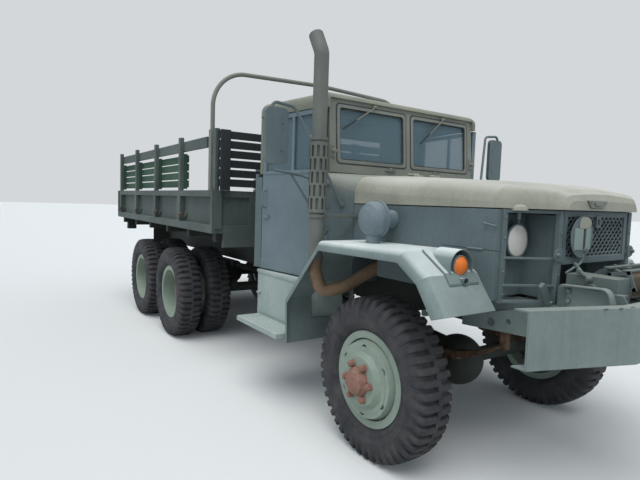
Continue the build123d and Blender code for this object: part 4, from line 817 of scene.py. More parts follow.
# Silvered steel behind the lens, tarnished towards straw in places; half metallic so that it stays pale, its
# pale diffuse half a painted reflection in place of what a deep reflector would mirror.
silver = mottled("silvered_reflector_with_painted_reflection", "#fbf8f4", "#f0d9bd", 30.0, 6.0, 0.25, metallic=0.4)

lamp_x, lamp_y, lamp_z = 0.651, 0.495, 1.402
for side, sign in (("right", -1), ("left", 1)):
    centre = at(lamp_x, sign * lamp_y, lamp_z)
    mesh = bmesh.new()
    lathe(mesh, [
        (-0.049, 0.0), (-0.049, 0.044), (-0.044, 0.056), (-0.028, 0.080), (-0.012, 0.0905), (-0.004, 0.096),
        (0.001, 0.0965), (0.005, 0.094), (0.006, 0.0885), (0.0, 0.083), (-0.004, 0.083), (-0.006, 0.0),
    ], centre, (1, 0, 0), around=64)
    for i in range(3):
        angle = math.radians(90 + 120 * i)
        screw = centre + Vector((0.003, 0.0915 * math.cos(angle), 0.0915 * math.sin(angle)))
        bolt(mesh, screw, (1, 0, 0), 0.007, height=0.5)
    elbow = at(0.690, sign * 0.545, 1.512)
    rod(
        mesh, [centre + Vector((-0.012, -sign * 0.006, 0.088)), elbow, at(0.700, sign * 0.565, 1.530)],
        0.006, bend=0.012,
    )
    rod(mesh, [at(0.700, sign * 0.565, 1.522), at(0.700, sign * 0.565, 1.570)], 0.0105)
    made = piece(f"headlamp_bucket_{side}", mesh, body_paint, "chassis", smooth=40)
    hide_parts("headlamps")

    mesh = bmesh.new()
    lathe(
        mesh,
        [
            (-0.005, 0.0), (-0.0048, 0.02), (-0.003, 0.045), (0.0005, 0.066), (0.0035, 0.0825),
            (0.002, 0.0835), (-0.006, 0.0835),
        ],
        centre, (1, 0, 0), around=64,
    )
    lathe(
        mesh, [(-0.006, 0.0), (-0.006, 0.011), (0.006, 0.011), (0.0085, 0.007), (0.009, 0.0)],
        centre + Vector((0, 0, 0.004)), (1, 0, 0), around=24,
    )
    made = piece(f"headlamp_reflector_{side}", mesh, silver, "chassis", smooth=40)
    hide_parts("headlamps")

    # The lens is domed 12 mm, with upright flutes of 7 mm over its lower two thirds and a plain band on top.
    mesh = bmesh.new()
    rings = 22
    around = 84
    front = []
    for i in range(rings + 1):
        radius = 0.0842 * i / rings
        row = []
        for k in range(around if i else 1):
            angle = 2 * math.pi * k / around
            across = radius * math.cos(angle)
            height = radius * math.sin(angle)
            dome = 0.0175 - 0.0125 * (radius / 0.0842) ** 2
            fluted = 0.0007 * math.cos(2 * math.pi * across / 0.007) * (height < 0.03) * (radius < 0.078)
            row.append(mesh.verts.new(centre + Vector((dome + fluted, across, height))))
        front.append(row)
    back = [[mesh.verts.new(vert.co - Vector((0.0028, 0, 0))) for vert in row] for row in front]
    for rows in (front, back):
        for low, high in zip(rows, rows[1:]):
            for k in range(around):
                j = (k + 1) % around
                corners = list(dict.fromkeys((low[k % len(low)], low[j % len(low)], high[j], high[k])))
                mesh.faces.new(corners)
    for k in range(around):
        j = (k + 1) % around
        mesh.faces.new((front[-1][k], front[-1][j], back[-1][j], back[-1][k]))
    made = piece(f"headlamp_lens_{side}", mesh, lens_glass_with_painted_reflection, "chassis", smooth=50)
    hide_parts("headlamps")

    mesh = bmesh.new()
    lathe(
        mesh, [(-0.012, 0.053), (0.006, 0.052), (0.016, 0.044), (0.022, 0.026), (0.024, 0.0)],
        at(0.690, sign * 0.565, 1.578), (0, 0, 1), around=32,
    )
    piece(f"hood_corner_cup_{side}", mesh, hood_paint, "hood_lid", smooth=50)


# Turn signals: moulded acrylic lenses with fine rings in painted cast housings under bell-shaped guards.
# Each has a small shielded marker lamp below it; the lenses are held by three screws.
def acrylic(name, colour, deep):
    """Tinted moulded plastic, a little darker and duller where the sun has crazed it."""
    material, tree, output = new_material(name)
    place = add(tree, "ShaderNodeTexCoord").outputs["Object"]
    crazed = add(tree, "ShaderNodeTexNoise", {"Vector": place, "Scale": 70.0, "Detail": 6.0})
    tint = add(
        tree, "ShaderNodeMix", {0: crazed.outputs["Fac"], 6: linear(colour), 7: linear(deep)},
        data_type="RGBA",
    )
    dull = add(tree, "ShaderNodeMapRange", {0: crazed.outputs["Fac"], 3: 0.18, 4: 0.4})
    shader = add(tree, "ShaderNodeBsdfPrincipled", {
        "Base Color": tint.outputs[2], "Roughness": dull.outputs[0],
        "Subsurface Weight": 0.25, "Subsurface Radius": (0.01, 0.005, 0.002), "Subsurface Scale": 0.4,
    })
    tree.links.new(shader.outputs[0], output.inputs[0])
    return material


amber = acrylic("amber_moulded_acrylic", "#f58a30", "#d9641a")
red = acrylic("red_moulded_acrylic", "#8c1f1a", "#5f1411")
smoked = acrylic("smoked_marker_glass", "#2a2c2d", "#191b1c")
dress(pale_paint, "signal_lamps")


def ringed_lens(mesh, centre, axis, radius, height):
    """A domed lens with moulded rings 4 mm apart."""
    count = max(4, round(radius / 0.004))
    section = [(0.0, radius)]
    for i in range(count):
        share = 1 - (i + 0.5) / count
        section.append((height * (1 - share ** 2.5) + 0.0008, radius * share))
        share = 1 - (i + 1) / count
        section.append((height * (1 - share ** 2.5), radius * share))
    lathe(mesh, section, centre, axis, around=48)


signal_x, signal_y, signal_z = 0.561, 0.845, 1.268
for side, sign in (("right", -1), ("left", 1)):
    centre = at(signal_x, sign * signal_y, signal_z)
    mesh = bmesh.new()
    ringed_lens(mesh, centre + Vector((0.006, 0, 0)), (1, 0, 0), 0.0515, 0.026)
    piece(f"signal_lens_{side}", mesh, amber, "chassis", smooth=50)
    mesh = bmesh.new()
    lathe(
        mesh,
        [
            (-0.045, 0.056), (0.004, 0.0585), (0.009, 0.057), (0.010, 0.0525), (0.004, 0.0505),
            (-0.045, 0.0505),
        ],
        centre, (1, 0, 0), close=True,
    )
    for i in range(3):
        angle = math.radians(30 + 120 * i)
        bolt(
            mesh, centre + Vector((0.007, 0.0550 * math.cos(angle), 0.0550 * math.sin(angle))), (1, 0, 0),
            0.006,
        )
    lathe(
        mesh,
        [(0.0, 0.021), (0.008, 0.021), (0.010, 0.018), (0.010, 0.0155), (0.003, 0.0155), (0.0, 0.0155)],
        centre + Vector((0.037, 0, -0.076)), (1, 0, 0), around=32, close=True,
    )
    piece(f"signal_ring_{side}", mesh, body_paint, "chassis", smooth=40)
    mesh = bmesh.new()
    ringed_lens(mesh, centre + Vector((0.036, 0, -0.076)), (1, 0, 0), 0.016, 0.006)
    # Painted shade inside the guard: a dark half-round back plate just above the fender.
    shade_plate_outline = [
        centre + Vector(
            (-0.085, 0.080 * math.cos(math.radians(a)), 0.080 * math.sin(math.radians(a)))
        ) for a in range(10, 171, 10)
    ]
    plate(mesh, shade_plate_outline, (0.003, 0, 0))
    piece(f"signal_marker_and_painted_shade_{side}", mesh, smoked, "chassis", smooth=40)

# Tail lamps: two round lenses, red above amber, in a pressed box under each side of the bed's rear end.
# A rolled rim holds each lens and two bolts hang the box on the rear cross beam.
tail_low, tail_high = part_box("tail_lamps")
box_half = 0.060
lens_centre_z = (tail_low[2] + tail_high[2]) / 2
for side, sign in (("right", -1), ("left", 1)):
    middle = sign * 1.020
    mesh = bmesh.new()
    block(
        mesh, (tail_low[0] + 0.012, middle - box_half, tail_low[2]),
        (tail_high[0], middle + box_half, tail_high[2]), chamfer=0.006,
    )
    for z in (-0.024, 0.024):
        lathe(
            mesh, [(0.0, 0.0215), (0.007, 0.0215), (0.008, 0.0195), (0.0, 0.0185)],
            (tail_low[0] + 0.0125, middle, lens_centre_z + z), (-1, 0, 0), around=36, close=True,
        )
    for y in (-0.035, 0.035):
        bolt(mesh, (tail_high[0] - 0.03, middle + y, tail_high[2] - 0.001), (0, 0, 1), 0.001, height=0.2)
    made = piece(f"tail_lamp_box_{side}", mesh, chassis_paint, "chassis", smooth=40)
    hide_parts("tail_lamps")
    for number, (z, colour) in enumerate(((-0.024, amber), (0.024, red))):
        mesh = bmesh.new()
        ringed_lens(mesh, (tail_low[0] + 0.0125, middle, lens_centre_z + z), (-1, 0, 0), 0.0186, 0.010)
        made = piece(f"tail_lens_{side}_{number}", mesh, colour, "chassis", smooth=50)
        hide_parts("tail_lamps")

# Class disc before the grille: a painted steel disc in a wire rim, a cap at its top and two bare plates.
# It stands on a bent rod beside the winch, which ends in a round boss.
disc_paint = painted_steel(
    "chalky_paint_on_disc_plates", "#83948f", "#93a39e", "#5f6d69", dust_and_top_light_amount=0.2, streaky=0.2, worn=0.4,
)
disc = at(0.850, -0.210, 1.432)
disc_radius = 0.110
mesh = bmesh.new()
lathe(
    mesh,
    [
        (-0.002, 0.0), (-0.002, disc_radius - 0.002), (0.0, disc_radius), (0.002, disc_radius - 0.002),
        (0.002, 0.0),
    ],
    disc, (1, 0, 0), around=64,
)
wire_angles = [math.radians(45 * i) for i in range(8)]
rim_wire = [(0.003 * math.cos(a), disc_radius + 0.003 * math.sin(a)) for a in wire_angles]
lathe(mesh, rim_wire, disc, (1, 0, 0), around=64, close=True)
for shift in (-0.036, 0.1105):
    block(
        mesh, disc + Vector((-0.022, -0.008 + shift, -0.012)),
        disc + Vector((-0.002, 0.008 + shift, 0.012)),
    )
rod(mesh, [at(0.850, -0.344, 1.244), at(0.850, -0.196, 1.293), at(0.852, -0.174, 1.352)], 0.0068, bend=0.04)
lathe(
    mesh, [(-0.008, 0.0), (-0.007, 0.012), (0.0, 0.018), (0.007, 0.012), (0.008, 0.0)],
    at(0.854, -0.174, 1.359), (1, 0, 0), around=24,
)
piece("class_disc", mesh, body_paint, "chassis", smooth=40)
mesh = bmesh.new()
for low, high in ((-0.0800, 0.0070), (0.0330, 0.0830)):
    block(mesh, disc + Vector((0.0015, low, -0.070)), disc + Vector((0.0045, high, 0.049)))
piece("class_disc_plates", mesh, disc_paint, "chassis")
mesh = bmesh.new()
block(mesh, disc + Vector((0.0015, 0.0085, -0.066)), disc + Vector((0.0028, 0.0315, 0.045)), chamfer=0.0004)
piece("class_disc_slot", mesh, rubber, "chassis")
mesh = bmesh.new()
cap = [
    (-0.036, 0.046), (0.058, 0.046), (0.078, 0.062), (0.083, 0.080), (0.070, 0.098), (0.045, 0.108),
    (0.0, 0.111), (-0.028, 0.102), (-0.036, 0.085),
]
plate(mesh, [disc + Vector((0.002, y, z)) for y, z in cap], (0.004, 0, 0), chamfer=0.0015)
piece("class_disc_cap", mesh, hood_paint, "chassis")

# Hood catch and small fittings on the nose: a pressed bracket on the hood, a catch handle on each hood side
# with its rivets, the side panel's hinge strip, and the tabs and shackle leaves low on the guards.
mesh = bmesh.new()
bracket = [(-0.209, 1.632), (0.004, 1.632), (-0.041, 1.589), (-0.170, 1.589)]
plate(mesh, [at(0.861, y, z) for y, z in bracket], (0.010, 0, 0), chamfer=0.003)
plate(
    mesh,
    [at(0.868, y, z) for y, z in ((-0.150, 1.622), (-0.055, 1.622), (-0.075, 1.602), (-0.135, 1.602))],
    (0.008, 0, 0), chamfer=0.002,
)
for y in (-0.180, -0.030):
    bolt(mesh, at(0.870, y, 1.621), (1, 0, 0), 0.009)
piece("hood_catch_bracket", mesh, frame_paint, "hood_lid", smooth=40)

for side, sign in (("right", -1), ("left", 1)):
    face = sign * 0.698
    mesh = bmesh.new()
    handle = [
        at(0.594, face, 1.495), at(0.594, face + sign * 0.016, 1.495),
        at(0.664, face + sign * 0.016, 1.483), at(0.664, face, 1.483),
    ]
    rod(mesh, handle, 0.0055, bend=0.008)
    for z in (1.530, 1.468):
        lathe(
            mesh, [(-0.001, 0.0052), (0.0012, 0.0048), (0.003, 0.0028), (0.0034, 0.0)], at(0.597, face, z),
            (0, sign, 0), around=14,
        )
    # The lower panel hinges below a seam: one strip with its pin rolled in.
    block(
        mesh, at(0.482, min(face - 0.001, face + sign * 0.004), 1.346),
        at(0.588, max(face - 0.001, face + sign * 0.004), 1.360),
    )
    rod(
        mesh, [at(0.486, face + sign * 0.004, 1.353), at(0.584, face + sign * 0.004, 1.353)], 0.0050,
        around=10,
    )
    # Rivets of the panel's stiffener along its top edge.
    for i in range(12):
        lathe(
            mesh, [(-0.001, 0.004), (0.0008, 0.0036), (0.002, 0.002), (0.0022, 0.0)],
            at(-0.43 + 0.088 * i, face, 1.556), (0, sign, 0), around=12,
        )
    piece(f"hood_side_fittings_{side}", mesh, body_paint, "chassis", smooth=40)

    mesh = bmesh.new()
    # Tab with its bolt beside the inner post, and the tow shackle's leaf under the lower bar.
    tab = [
        (0.362, 1.300), (0.362, 1.372), (0.400, 1.372), (0.425, 1.360), (0.434, 1.337), (0.425, 1.312),
        (0.400, 1.300),
    ]
    plate(mesh, [at(0.8275, sign * y, z) for y, z in tab], (0.006, 0, 0), chamfer=0.0015)
    bolt(mesh, at(0.8335, sign * 0.407, 1.337), (1, 0, 0), 0.021, height=0.75)
    leaf = [(0.512, 1.172), (0.484, 1.196), (0.400, 1.100), (0.392, 1.070), (0.410, 1.056), (0.436, 1.070)]
    plate(mesh, [at(0.796, sign * y, z) for y, z in leaf], (0.024, 0, 0), chamfer=0.003)
    bolt(mesh, at(0.820, sign * 0.418, 1.085), (1, 0, 0), 0.019)
    # Bolts of the guard's outer post, one between each pair of bars.
    for z in (1.12, 1.24, 1.42, 1.53):
        bolt(mesh, at(0.6762, sign * 0.640, z), (1, 0, 0), 0.011)
    for z in (1.12, 1.23, 1.45):
        bolt(mesh, at(0.8272, sign * 0.375, z), (1, 0, 0), 0.010)
    piece(f"guard_fittings_{side}", mesh, body_paint, "chassis", smooth=40)

# A woven strip lies along the top of the hood sides, guards and grille, where the hood comes down.
# It's black cotton lacing riveted to the sheet metal, and it closes the gap under the hood's edge; its dark
# there is partly painted shade, standing in for the shaded engine bay behind.
lacing, tree, output = new_material("black_cotton_lacing")
place = add(tree, "ShaderNodeTexCoord").outputs["Object"]
oily = add(tree, "ShaderNodeTexNoise", {"Vector": place, "Scale": 30.0, "Detail": 5.0})
lacing_tone = add(
    tree, "ShaderNodeMix", {0: oily.outputs["Fac"], 6: linear("#16181a"), 7: linear("#2a2c2c")},
    data_type="RGBA",
)
braid = add(
    tree, "ShaderNodeTexWave", {"Vector": place, "Scale": 80.0, "Distortion": 0.5},
    bands_direction="DIAGONAL",
)
braided = add(tree, "ShaderNodeBump", {"Height": braid.outputs["Fac"], "Distance": 0.0008, "Strength": 0.6})
lacing_shader = add(
    tree, "ShaderNodeBsdfPrincipled",
    {"Base Color": lacing_tone.outputs[2], "Roughness": 0.9, "Normal": braided.outputs[0]},
)
tree.links.new(lacing_shader.outputs[0], output.inputs[0])
mesh = bmesh.new()
route = [(-0.530, 0.672), (0.605, 0.672), (0.640, 0.645), (0.772, 0.385), (0.790, 0.340), (0.790, 0.0)]
route += [(x, -y) for x, y in reversed(route[:-1])]
loops = []
for dx, low_z, high_z in ((0.0, 1.545, 1.598), (0.008, 1.545, 1.598)):
    for z in (low_z, high_z):
        loops.append([
            mesh.verts.new(at(x - dx, y - math.copysign(dx, y) if abs(y) > 0.01 else y, z)) for x, y in route
        ])
order = (loops[0], loops[1], loops[3], loops[2])
for i in range(4):
    low, high = order[i], order[(i + 1) % 4]
    for k in range(len(route) - 1):
        mesh.faces.new((low[k], low[k + 1], high[k + 1], high[k]))
for k in (0, -1):
    mesh.faces.new([row[k] for row in order])
piece("hood_lacing_and_gap_shade", mesh, lacing, "chassis")
mesh = bmesh.new()
for sign in (-1, 1):
    outline = [(0.300, 1.3512), (0.690, 1.3512), (0.690, 1.3546), (0.300, 1.3546)]
    plate(mesh, [at(x, sign * 0.6975, z) for x, z in outline], (0, sign * 0.0009, 0), chamfer=0.0001)
piece("hood_side_seams", mesh, lacing, "chassis")

# Winch: the side plates' rolled flanges and bolts, a clutch lever, the drum's wire rope and its guide frame.
# Plates and levers are flame-cut steel, the rope is greased plough-steel wire laid on the drum.
mesh = bmesh.new()
flange = [
    (0.885, 1.196), (1.092, 1.206), (1.110, 1.202), (1.124, 1.190), (1.134, 1.170), (1.150, 1.112),
    (1.143, 1.110), (1.127, 1.168), (1.118, 1.185), (1.107, 1.195), (1.091, 1.199), (0.885, 1.189),
]
for sign in (-1, 1):
    plate(mesh, [at(x, sign * 0.410, z) for x, z in flange], (0, sign * 0.048, 0), chamfer=0.0012)
    for x, z in ((0.912, 1.164), (0.912, 1.113)):
        bolt(mesh, at(x, sign * 0.412, z), (0, sign, 0), 0.024, height=0.6)
    for x in (0.93, 1.03):
        bolt(mesh, at(x, sign * 0.395, 1.1805), (0, 0, 1), 0.014)
    # Web behind the flange, with its lower edge folded.
    web = [(0.90, 1.082), (1.105, 1.082), (1.128, 1.110), (1.112, 1.188), (0.90, 1.188)]
    plate(mesh, [at(x, sign * 0.4105, z) for x, z in web], (0, sign * 0.003, 0), chamfer=0.0008)
piece("winch_side_flanges", mesh, bumper_paint, "chassis", smooth=40)
mesh = bmesh.new()
rod(mesh, [at(0.950, -0.402, 1.270), at(1.004, -0.402, 1.236)], 0.0095)
for place in (at(0.950, -0.402, 1.270), at(1.004, -0.402, 1.236)):
    lathe(
        mesh, [(-0.014, 0.0), (-0.013, 0.010), (0.0, 0.016), (0.013, 0.010), (0.014, 0.0)], place,
        (0, 1, 0), around=20,
    )
bolt(mesh, at(1.004, -0.414, 1.236), (0, -1, 0), 0.020, height=0.8)
# Guide frame over the rope: four flat bars round an opening, and a bar with two holes across the top.
corners = [(1.030, 1.256), (1.120, 1.276), (1.150, 1.196), (1.062, 1.150)]
for y in (-0.262, 0.250):
    for (x0, z0), (x1, z1) in zip(corners, corners[1:] + corners[:1]):
        along = Vector((x1 - x0, 0, z1 - z0)).normalized() * 0.010
        wide = Vector((-along.z, 0, along.x))
        a, b = at(x0, y, z0), at(x1, y, z1)
        plate(
            mesh, [a - along - wide, b + along - wide, b + along + wide, a - along + wide], (0, 0.008, 0),
            chamfer=0.001,
        )
block(mesh, at(1.000, -0.262, 1.284), at(1.034, 0.258, 1.294), chamfer=0.002)
block(mesh, at(1.086, -0.262, 1.276), at(1.118, 0.258, 1.286), chamfer=0.002)
for y in (-0.18, 0.0, 0.18):
    bolt(mesh, at(1.017, y, 1.294), (0, 0, 1), 0.015)
piece("winch_lever_and_guide", mesh, winch_paint, "chassis", smooth=40)
wire, tree, output = new_material("greased_wire_rope")
place = add(tree, "ShaderNodeTexCoord").outputs["Object"]
grease = add(tree, "ShaderNodeTexNoise", {"Vector": place, "Scale": 80.0, "Detail": 5.0})
wire_tone = add(
    tree, "ShaderNodeMix", {0: grease.outputs["Fac"], 6: linear("#3a352e"), 7: linear("#7b6a55")},
    data_type="RGBA",
)
strands = add(
    tree, "ShaderNodeTexWave", {"Vector": place, "Scale": 60.0, "Distortion": 1.0},
    bands_direction="DIAGONAL",
)
stranded = add(tree, "ShaderNodeBump", {"Height": strands.outputs["Fac"], "Distance": 0.001, "Strength": 0.7})
wire_shader = add(
    tree, "ShaderNodeBsdfPrincipled",
    {"Base Color": wire_tone.outputs[2], "Metallic": 0.4, "Roughness": 0.55, "Normal": stranded.outputs[0]},
)
tree.links.new(wire_shader.outputs[0], output.inputs[0])
mesh = bmesh.new()
turns = 27
coil = []
for i in range(turns * 20 + 1):
    angle = 2 * math.pi * i / 20
    coil.append(
        at(
            1.010 + 0.0645 * math.cos(angle), -0.188 + 0.356 * i / (turns * 20),
            1.180 + 0.0645 * math.sin(angle),
        )
    )
sweep(mesh, coil, 0.0066, around=8)
piece("winch_rope", mesh, wire, "chassis", smooth=60)

# Bumper: three oval holes near each end of its top flange, where lashings go; the channel is rolled plate.
# They're drawn as dark plates of their outline on the flange, which is solid below: the holes' shade is
# painted.
mesh = bmesh.new()
for sign in (-1, 1):
    for x, y in ((1.222, 0.673), (1.248, 0.596), (1.258, 0.512)):
        oval = [
            at(
                x + 0.006 * math.sin(math.radians(a)), sign * (y + 0.017 * math.cos(math.radians(a))),
                1.1551,
            ) for a in range(0, 360, 30)
        ]
        plate(mesh, oval, (0, 0, 0.0006), chamfer=0.0001)
piece("bumper_top_holes_painted_shade", mesh, rubber, "chassis")

# Windshield: each pane sits in its own pressed frame with rounded corners, in a black rubber channel.
# Two wipers hang from motors at the top rail, and a clamp with a wing knob holds each side of the frame.
front_low_z = 1.800


def on_windshield(y, z, out):
    """A point on the windshield's front plane, which leans back 40 mm in its height, moved out from it."""
    return at(-0.722 - 0.040 * (z - front_low_z) / 0.545 + out, y, z)


def rounded(low, high, radius, steps=5):
    """A rectangle's outline with round corners, as pairs."""
    (x0, y0), (x1, y1) = low, high
    outline = []
    for cx, cy, turn in ((x1, y1, 0), (x0, y1, 90), (x0, y0, 180), (x1, y0, 270)):
        inward_x = cx - radius if cx == x1 else cx + radius
        inward_y = cy - radius if cy == y1 else cy + radius
        for i in range(steps + 1):
            angle = math.radians(turn + 90 * i / steps)
            outline.append((inward_x + radius * math.cos(angle), inward_y + radius * math.sin(angle)))
    return outline


def window_ring(mesh, outer, inner, out, depth):
    """A flat frame between two outlines of as many points each, standing out from the windshield's plane."""
    loops = []
    for outline, lift in ((outer, out), (outer, out + depth * 0.8), (inner, out + depth), (inner, out)):
        loops.append([mesh.verts.new(on_windshield(y, z, lift)) for y, z in outline])
    for low, high in zip(loops, loops[1:] + loops[:1]):
        for i in range(len(outer)):
            j = (i + 1) % len(outer)
            mesh.faces.new((low[i], low[j], high[j], high[i]))


for side, sign in (("right", -1), ("left", 1)):
    y0, y1 = sorted((sign * 0.030, sign * 0.722))
    mesh = bmesh.new()
    window_ring(
        mesh, rounded((y0, 1.874), (y1, 2.308), 0.030),
        rounded((y0 + 0.024, 1.898), (y1 - 0.024, 2.284), 0.022), -0.006, 0.012,
    )
    for y, z in ((y0 + 0.05, 1.886), (y1 - 0.05, 1.886), (y0 + 0.05, 2.296), (y1 - 0.05, 2.296)):
        lathe(
            mesh, [(0.0, 0.005), (0.001, 0.0045), (0.0025, 0.0)], on_windshield(y, z, 0.0052), (1, 0, 0),
            around=12,
        )
    piece(f"pane_frame_{side}", mesh, frame_paint, "chassis", smooth=40)
    mesh = bmesh.new()
    window_ring(
        mesh, rounded((y0 - 0.010, 1.864), (y1 + 0.010, 2.318), 0.034),
        rounded((y0, 1.874), (y1, 2.308), 0.030), -0.006, 0.009,
    )
    window_ring(
        mesh, rounded((y0 + 0.024, 1.898), (y1 - 0.024, 2.284), 0.022),
        rounded((y0 + 0.030, 1.904), (y1 - 0.030, 2.278), 0.018), -0.010, 0.010,
    )
    piece(f"pane_rubber_{side}", mesh, rubber, "chassis", smooth=40)

    mesh = bmesh.new()
    knob = on_windshield(sign * 0.768, 1.955, 0.0)
    clamp_plate = [(0.752, 1.905), (0.784, 1.905), (0.784, 2.005), (0.752, 2.005)]
    plate(mesh, [on_windshield(sign * y, z, 0.0) for y, z in clamp_plate], (0.006, 0, 0), chamfer=0.001)
    lathe(
        mesh, [(0.0, 0.010), (0.020, 0.009), (0.024, 0.015), (0.040, 0.015), (0.045, 0.009), (0.046, 0.0)],
        knob, (1, 0, 0), around=20,
    )
    block(
        mesh, on_windshield(sign * 0.768 - 0.028, 1.951, 0.028),
        on_windshield(sign * 0.768 + 0.028, 1.959, 0.036), chamfer=0.002,
    )
    for z in (1.916, 1.994):
        bolt(mesh, on_windshield(sign * 0.768, z, 0.006), (1, 0, 0), 0.011)
    piece(f"windshield_clamp_{side}", mesh, frame_paint, "chassis", smooth=40)

# Moulded rubber, smeared grey where it has wiped the pane.
wiper_black = mottled("black_rubber_wiper", "#151617", "#2f3133", 55.0, 4.0, 0.6)
for side, pivot, tip in (
    ("right", (-0.370, 2.322), (-0.672, 2.125)), ("left", (0.395, 2.318), (0.128, 2.090)),
):
    mesh = bmesh.new()
    start = on_windshield(*pivot, 0.030)
    hold = Vector(pivot).lerp(Vector(tip), 0.60)
    grip = on_windshield(hold[0], hold[1], 0.022)
    rod(mesh, [start, start.lerp(grip, 0.35) + Vector((0.004, 0, 0)), grip], 0.0042, bend=0.06, around=10)
    lathe(
        mesh,
        [(-0.030, 0.013), (-0.006, 0.013), (0.002, 0.011), (0.008, 0.010), (0.011, 0.006), (0.011, 0.0)],
        start, (1, 0, 0), around=24,
    )
    piece(f"wiper_arm_{side}", mesh, frame_paint, "chassis", smooth=40)
    mesh = bmesh.new()
    root = Vector(pivot).lerp(Vector(tip), 0.24)
    along = (Vector(tip) - Vector(pivot)).normalized()
    across = Vector((-along.y, along.x))
    for out, depth, width in ((0.010, 0.010, 0.0045), (0.0065, 0.004, 0.0016)):
        strip = [
            root - across * width, Vector(tip) - across * width, Vector(tip) + across * width,
            root + across * width,
        ]
        plate(mesh, [on_windshield(y, z, out) for y, z in strip], (depth, 0, 0), chamfer=0.0006)
    piece(f"wiper_blade_{side}", mesh, wiper_black, "chassis", smooth=40)

# Cowl fittings: two pressed latches below the panes, and a row of round rivets along the windshield's top.
# All are steel and were painted together with the windshield's frame.
mesh = bmesh.new()
for y in (-0.205, 0.300):
    block(
        mesh, on_windshield(y - 0.045, 1.836, -0.004), on_windshield(y + 0.045, 1.848, 0.014),
        chamfer=0.003,
    )
    lathe(
        mesh, [(-0.012, 0.011), (0.012, 0.011), (0.015, 0.007), (0.015, 0.0)],
        on_windshield(y, 1.850, 0.012), (0, 0, 1), around=20,
    )
    block(mesh, on_windshield(y - 0.012, 1.852, 0.004), on_windshield(y + 0.060, 1.862, 0.016), chamfer=0.003)
for i in range(9):
    y = -0.72 + 0.18 * i
    lathe(
        mesh, [(-0.002, 0.006), (0.0015, 0.0055), (0.0035, 0.003), (0.004, 0.0)],
        on_windshield(y, 2.333, 0.0), (1, 0, 0), around=14,
    )
piece("cowl_latches", mesh, frame_paint, "chassis", smooth=40)

# Mirror glass: silvered plates in the backs of the two heads, each under a thin rolled rim.
# The glass is dulled by weather in spots, and two bolts hold each head to its tube.
mirror_glass, tree, output = new_material("weathered_mirror_glass")
place = add(tree, "ShaderNodeTexCoord").outputs["Object"]
spots = add(tree, "ShaderNodeTexNoise", {"Vector": place, "Scale": 25.0, "Detail": 7.0, "Roughness": 0.7})
spot_mask = add(tree, "ShaderNodeMapRange", {0: spots.outputs["Fac"], 1: 0.62, 2: 0.72, 3: 0.04, 4: 0.5})
mirror_shader = add(
    tree, "ShaderNodeBsdfPrincipled",
    {"Base Color": linear("#dfe4e3"), "Metallic": 1.0, "Roughness": spot_mask.outputs[0]},
)
tree.links.new(mirror_shader.outputs[0], output.inputs[0])
for side, sign in (("right", -1), ("left", 1)):
    y0, y1 = sorted((sign * 1.124, sign * 1.282))
    outline = rounded((y0, 1.843), (y1, 2.213), 0.034)
    mesh = bmesh.new()
    plate(mesh, [at(-0.8148, y, z) for y, z in outline], (-0.0022, 0, 0), chamfer=0.0008)
    piece(f"mirror_glass_{side}", mesh, mirror_glass, "chassis")
    mesh = bmesh.new()
    outer = rounded((y0 - 0.006, 1.837), (y1 + 0.006, 2.219), 0.038)
    loops = []
    for outline, x in (
        (outer, -0.8145), (outer, -0.8190),
        (rounded((y0 + 0.004, 1.847), (y1 - 0.004, 2.209), 0.030), -0.8195),
        (rounded((y0 + 0.004, 1.847), (y1 - 0.004, 2.209), 0.030), -0.8165),
    ):
        loops.append([mesh.verts.new(at(x, y, z)) for y, z in outline])
    for low, high in zip(loops, loops[1:] + loops[:1]):
        for i in range(len(outer)):
            j = (i + 1) % len(outer)
            mesh.faces.new((low[i], low[j], high[j], high[i]))
    for z in (1.93, 2.12):
        bolt(mesh, at(-0.785, sign * 1.16, z), (1, 0, 0), 0.012)
    piece(f"mirror_rim_{side}", mesh, body_paint, "chassis", smooth=40)

# Bed fittings: a forged tie ring hangs in each pocket's boss, and round-headed carriage bolts hold boards
# and slats to the stakes. Rings and the front rack's bolts are bare rusty steel; the others are painted
# with the bed.
stake_first, stake_last = -2.030, -5.690
carriage_head = [(-0.001, 0.0095), (0.001, 0.009), (0.0035, 0.005), (0.0042, 0.0)]
bays = 4
mesh = bmesh.new()
for sign in (-1, 1):
    for i in range(1, bays + 1):
        x = stake_first + (stake_last - stake_first) * i / bays + 0.090
        ring = [
            at(
                x + 0.027 * math.cos(a), sign * (1.196 + 0.012 * (1 - math.sin(a)) * 0.5),
                1.386 + 0.027 * math.sin(a),
            ) for a in (2 * math.pi * k / 24 for k in range(25))
        ]
        sweep(mesh, ring, 0.0048, around=8)
        lathe(
            mesh, [(-0.02, 0.011), (0.0, 0.011), (0.003, 0.008), (0.003, 0.0)], at(x, sign * 1.192, 1.413),
            (0, sign, 0), around=18,
        )
piece("bed_tie_rings", mesh, rusty_steel, "chassis", smooth=50)
mesh = bmesh.new()
for i in range(6):
    z = 1.690 + 0.086 * i + 0.034
    for y in (-1.100, -0.370, 0.370, 1.100):
        for dy in (-0.018, 0.018):
            lathe(mesh, carriage_head, at(-1.951, y + dy, z), (1, 0, 0), around=14)
piece("front_rack_bolts", mesh, rusty_steel, "chassis", smooth=60)
mesh = bmesh.new()
for sign in (-1, 1):
    for i in range(bays + 1):
        x = stake_first + (stake_last - stake_first) * i / bays
        for z in (2.088, 2.134) + ((1.728, 1.816, 1.904, 1.992) if i else ()):
            lathe(mesh, carriage_head, at(x, sign * 1.180, z), (0, sign, 0), around=14)
piece("stake_bolts", mesh, bed_paint, "chassis", smooth=60)

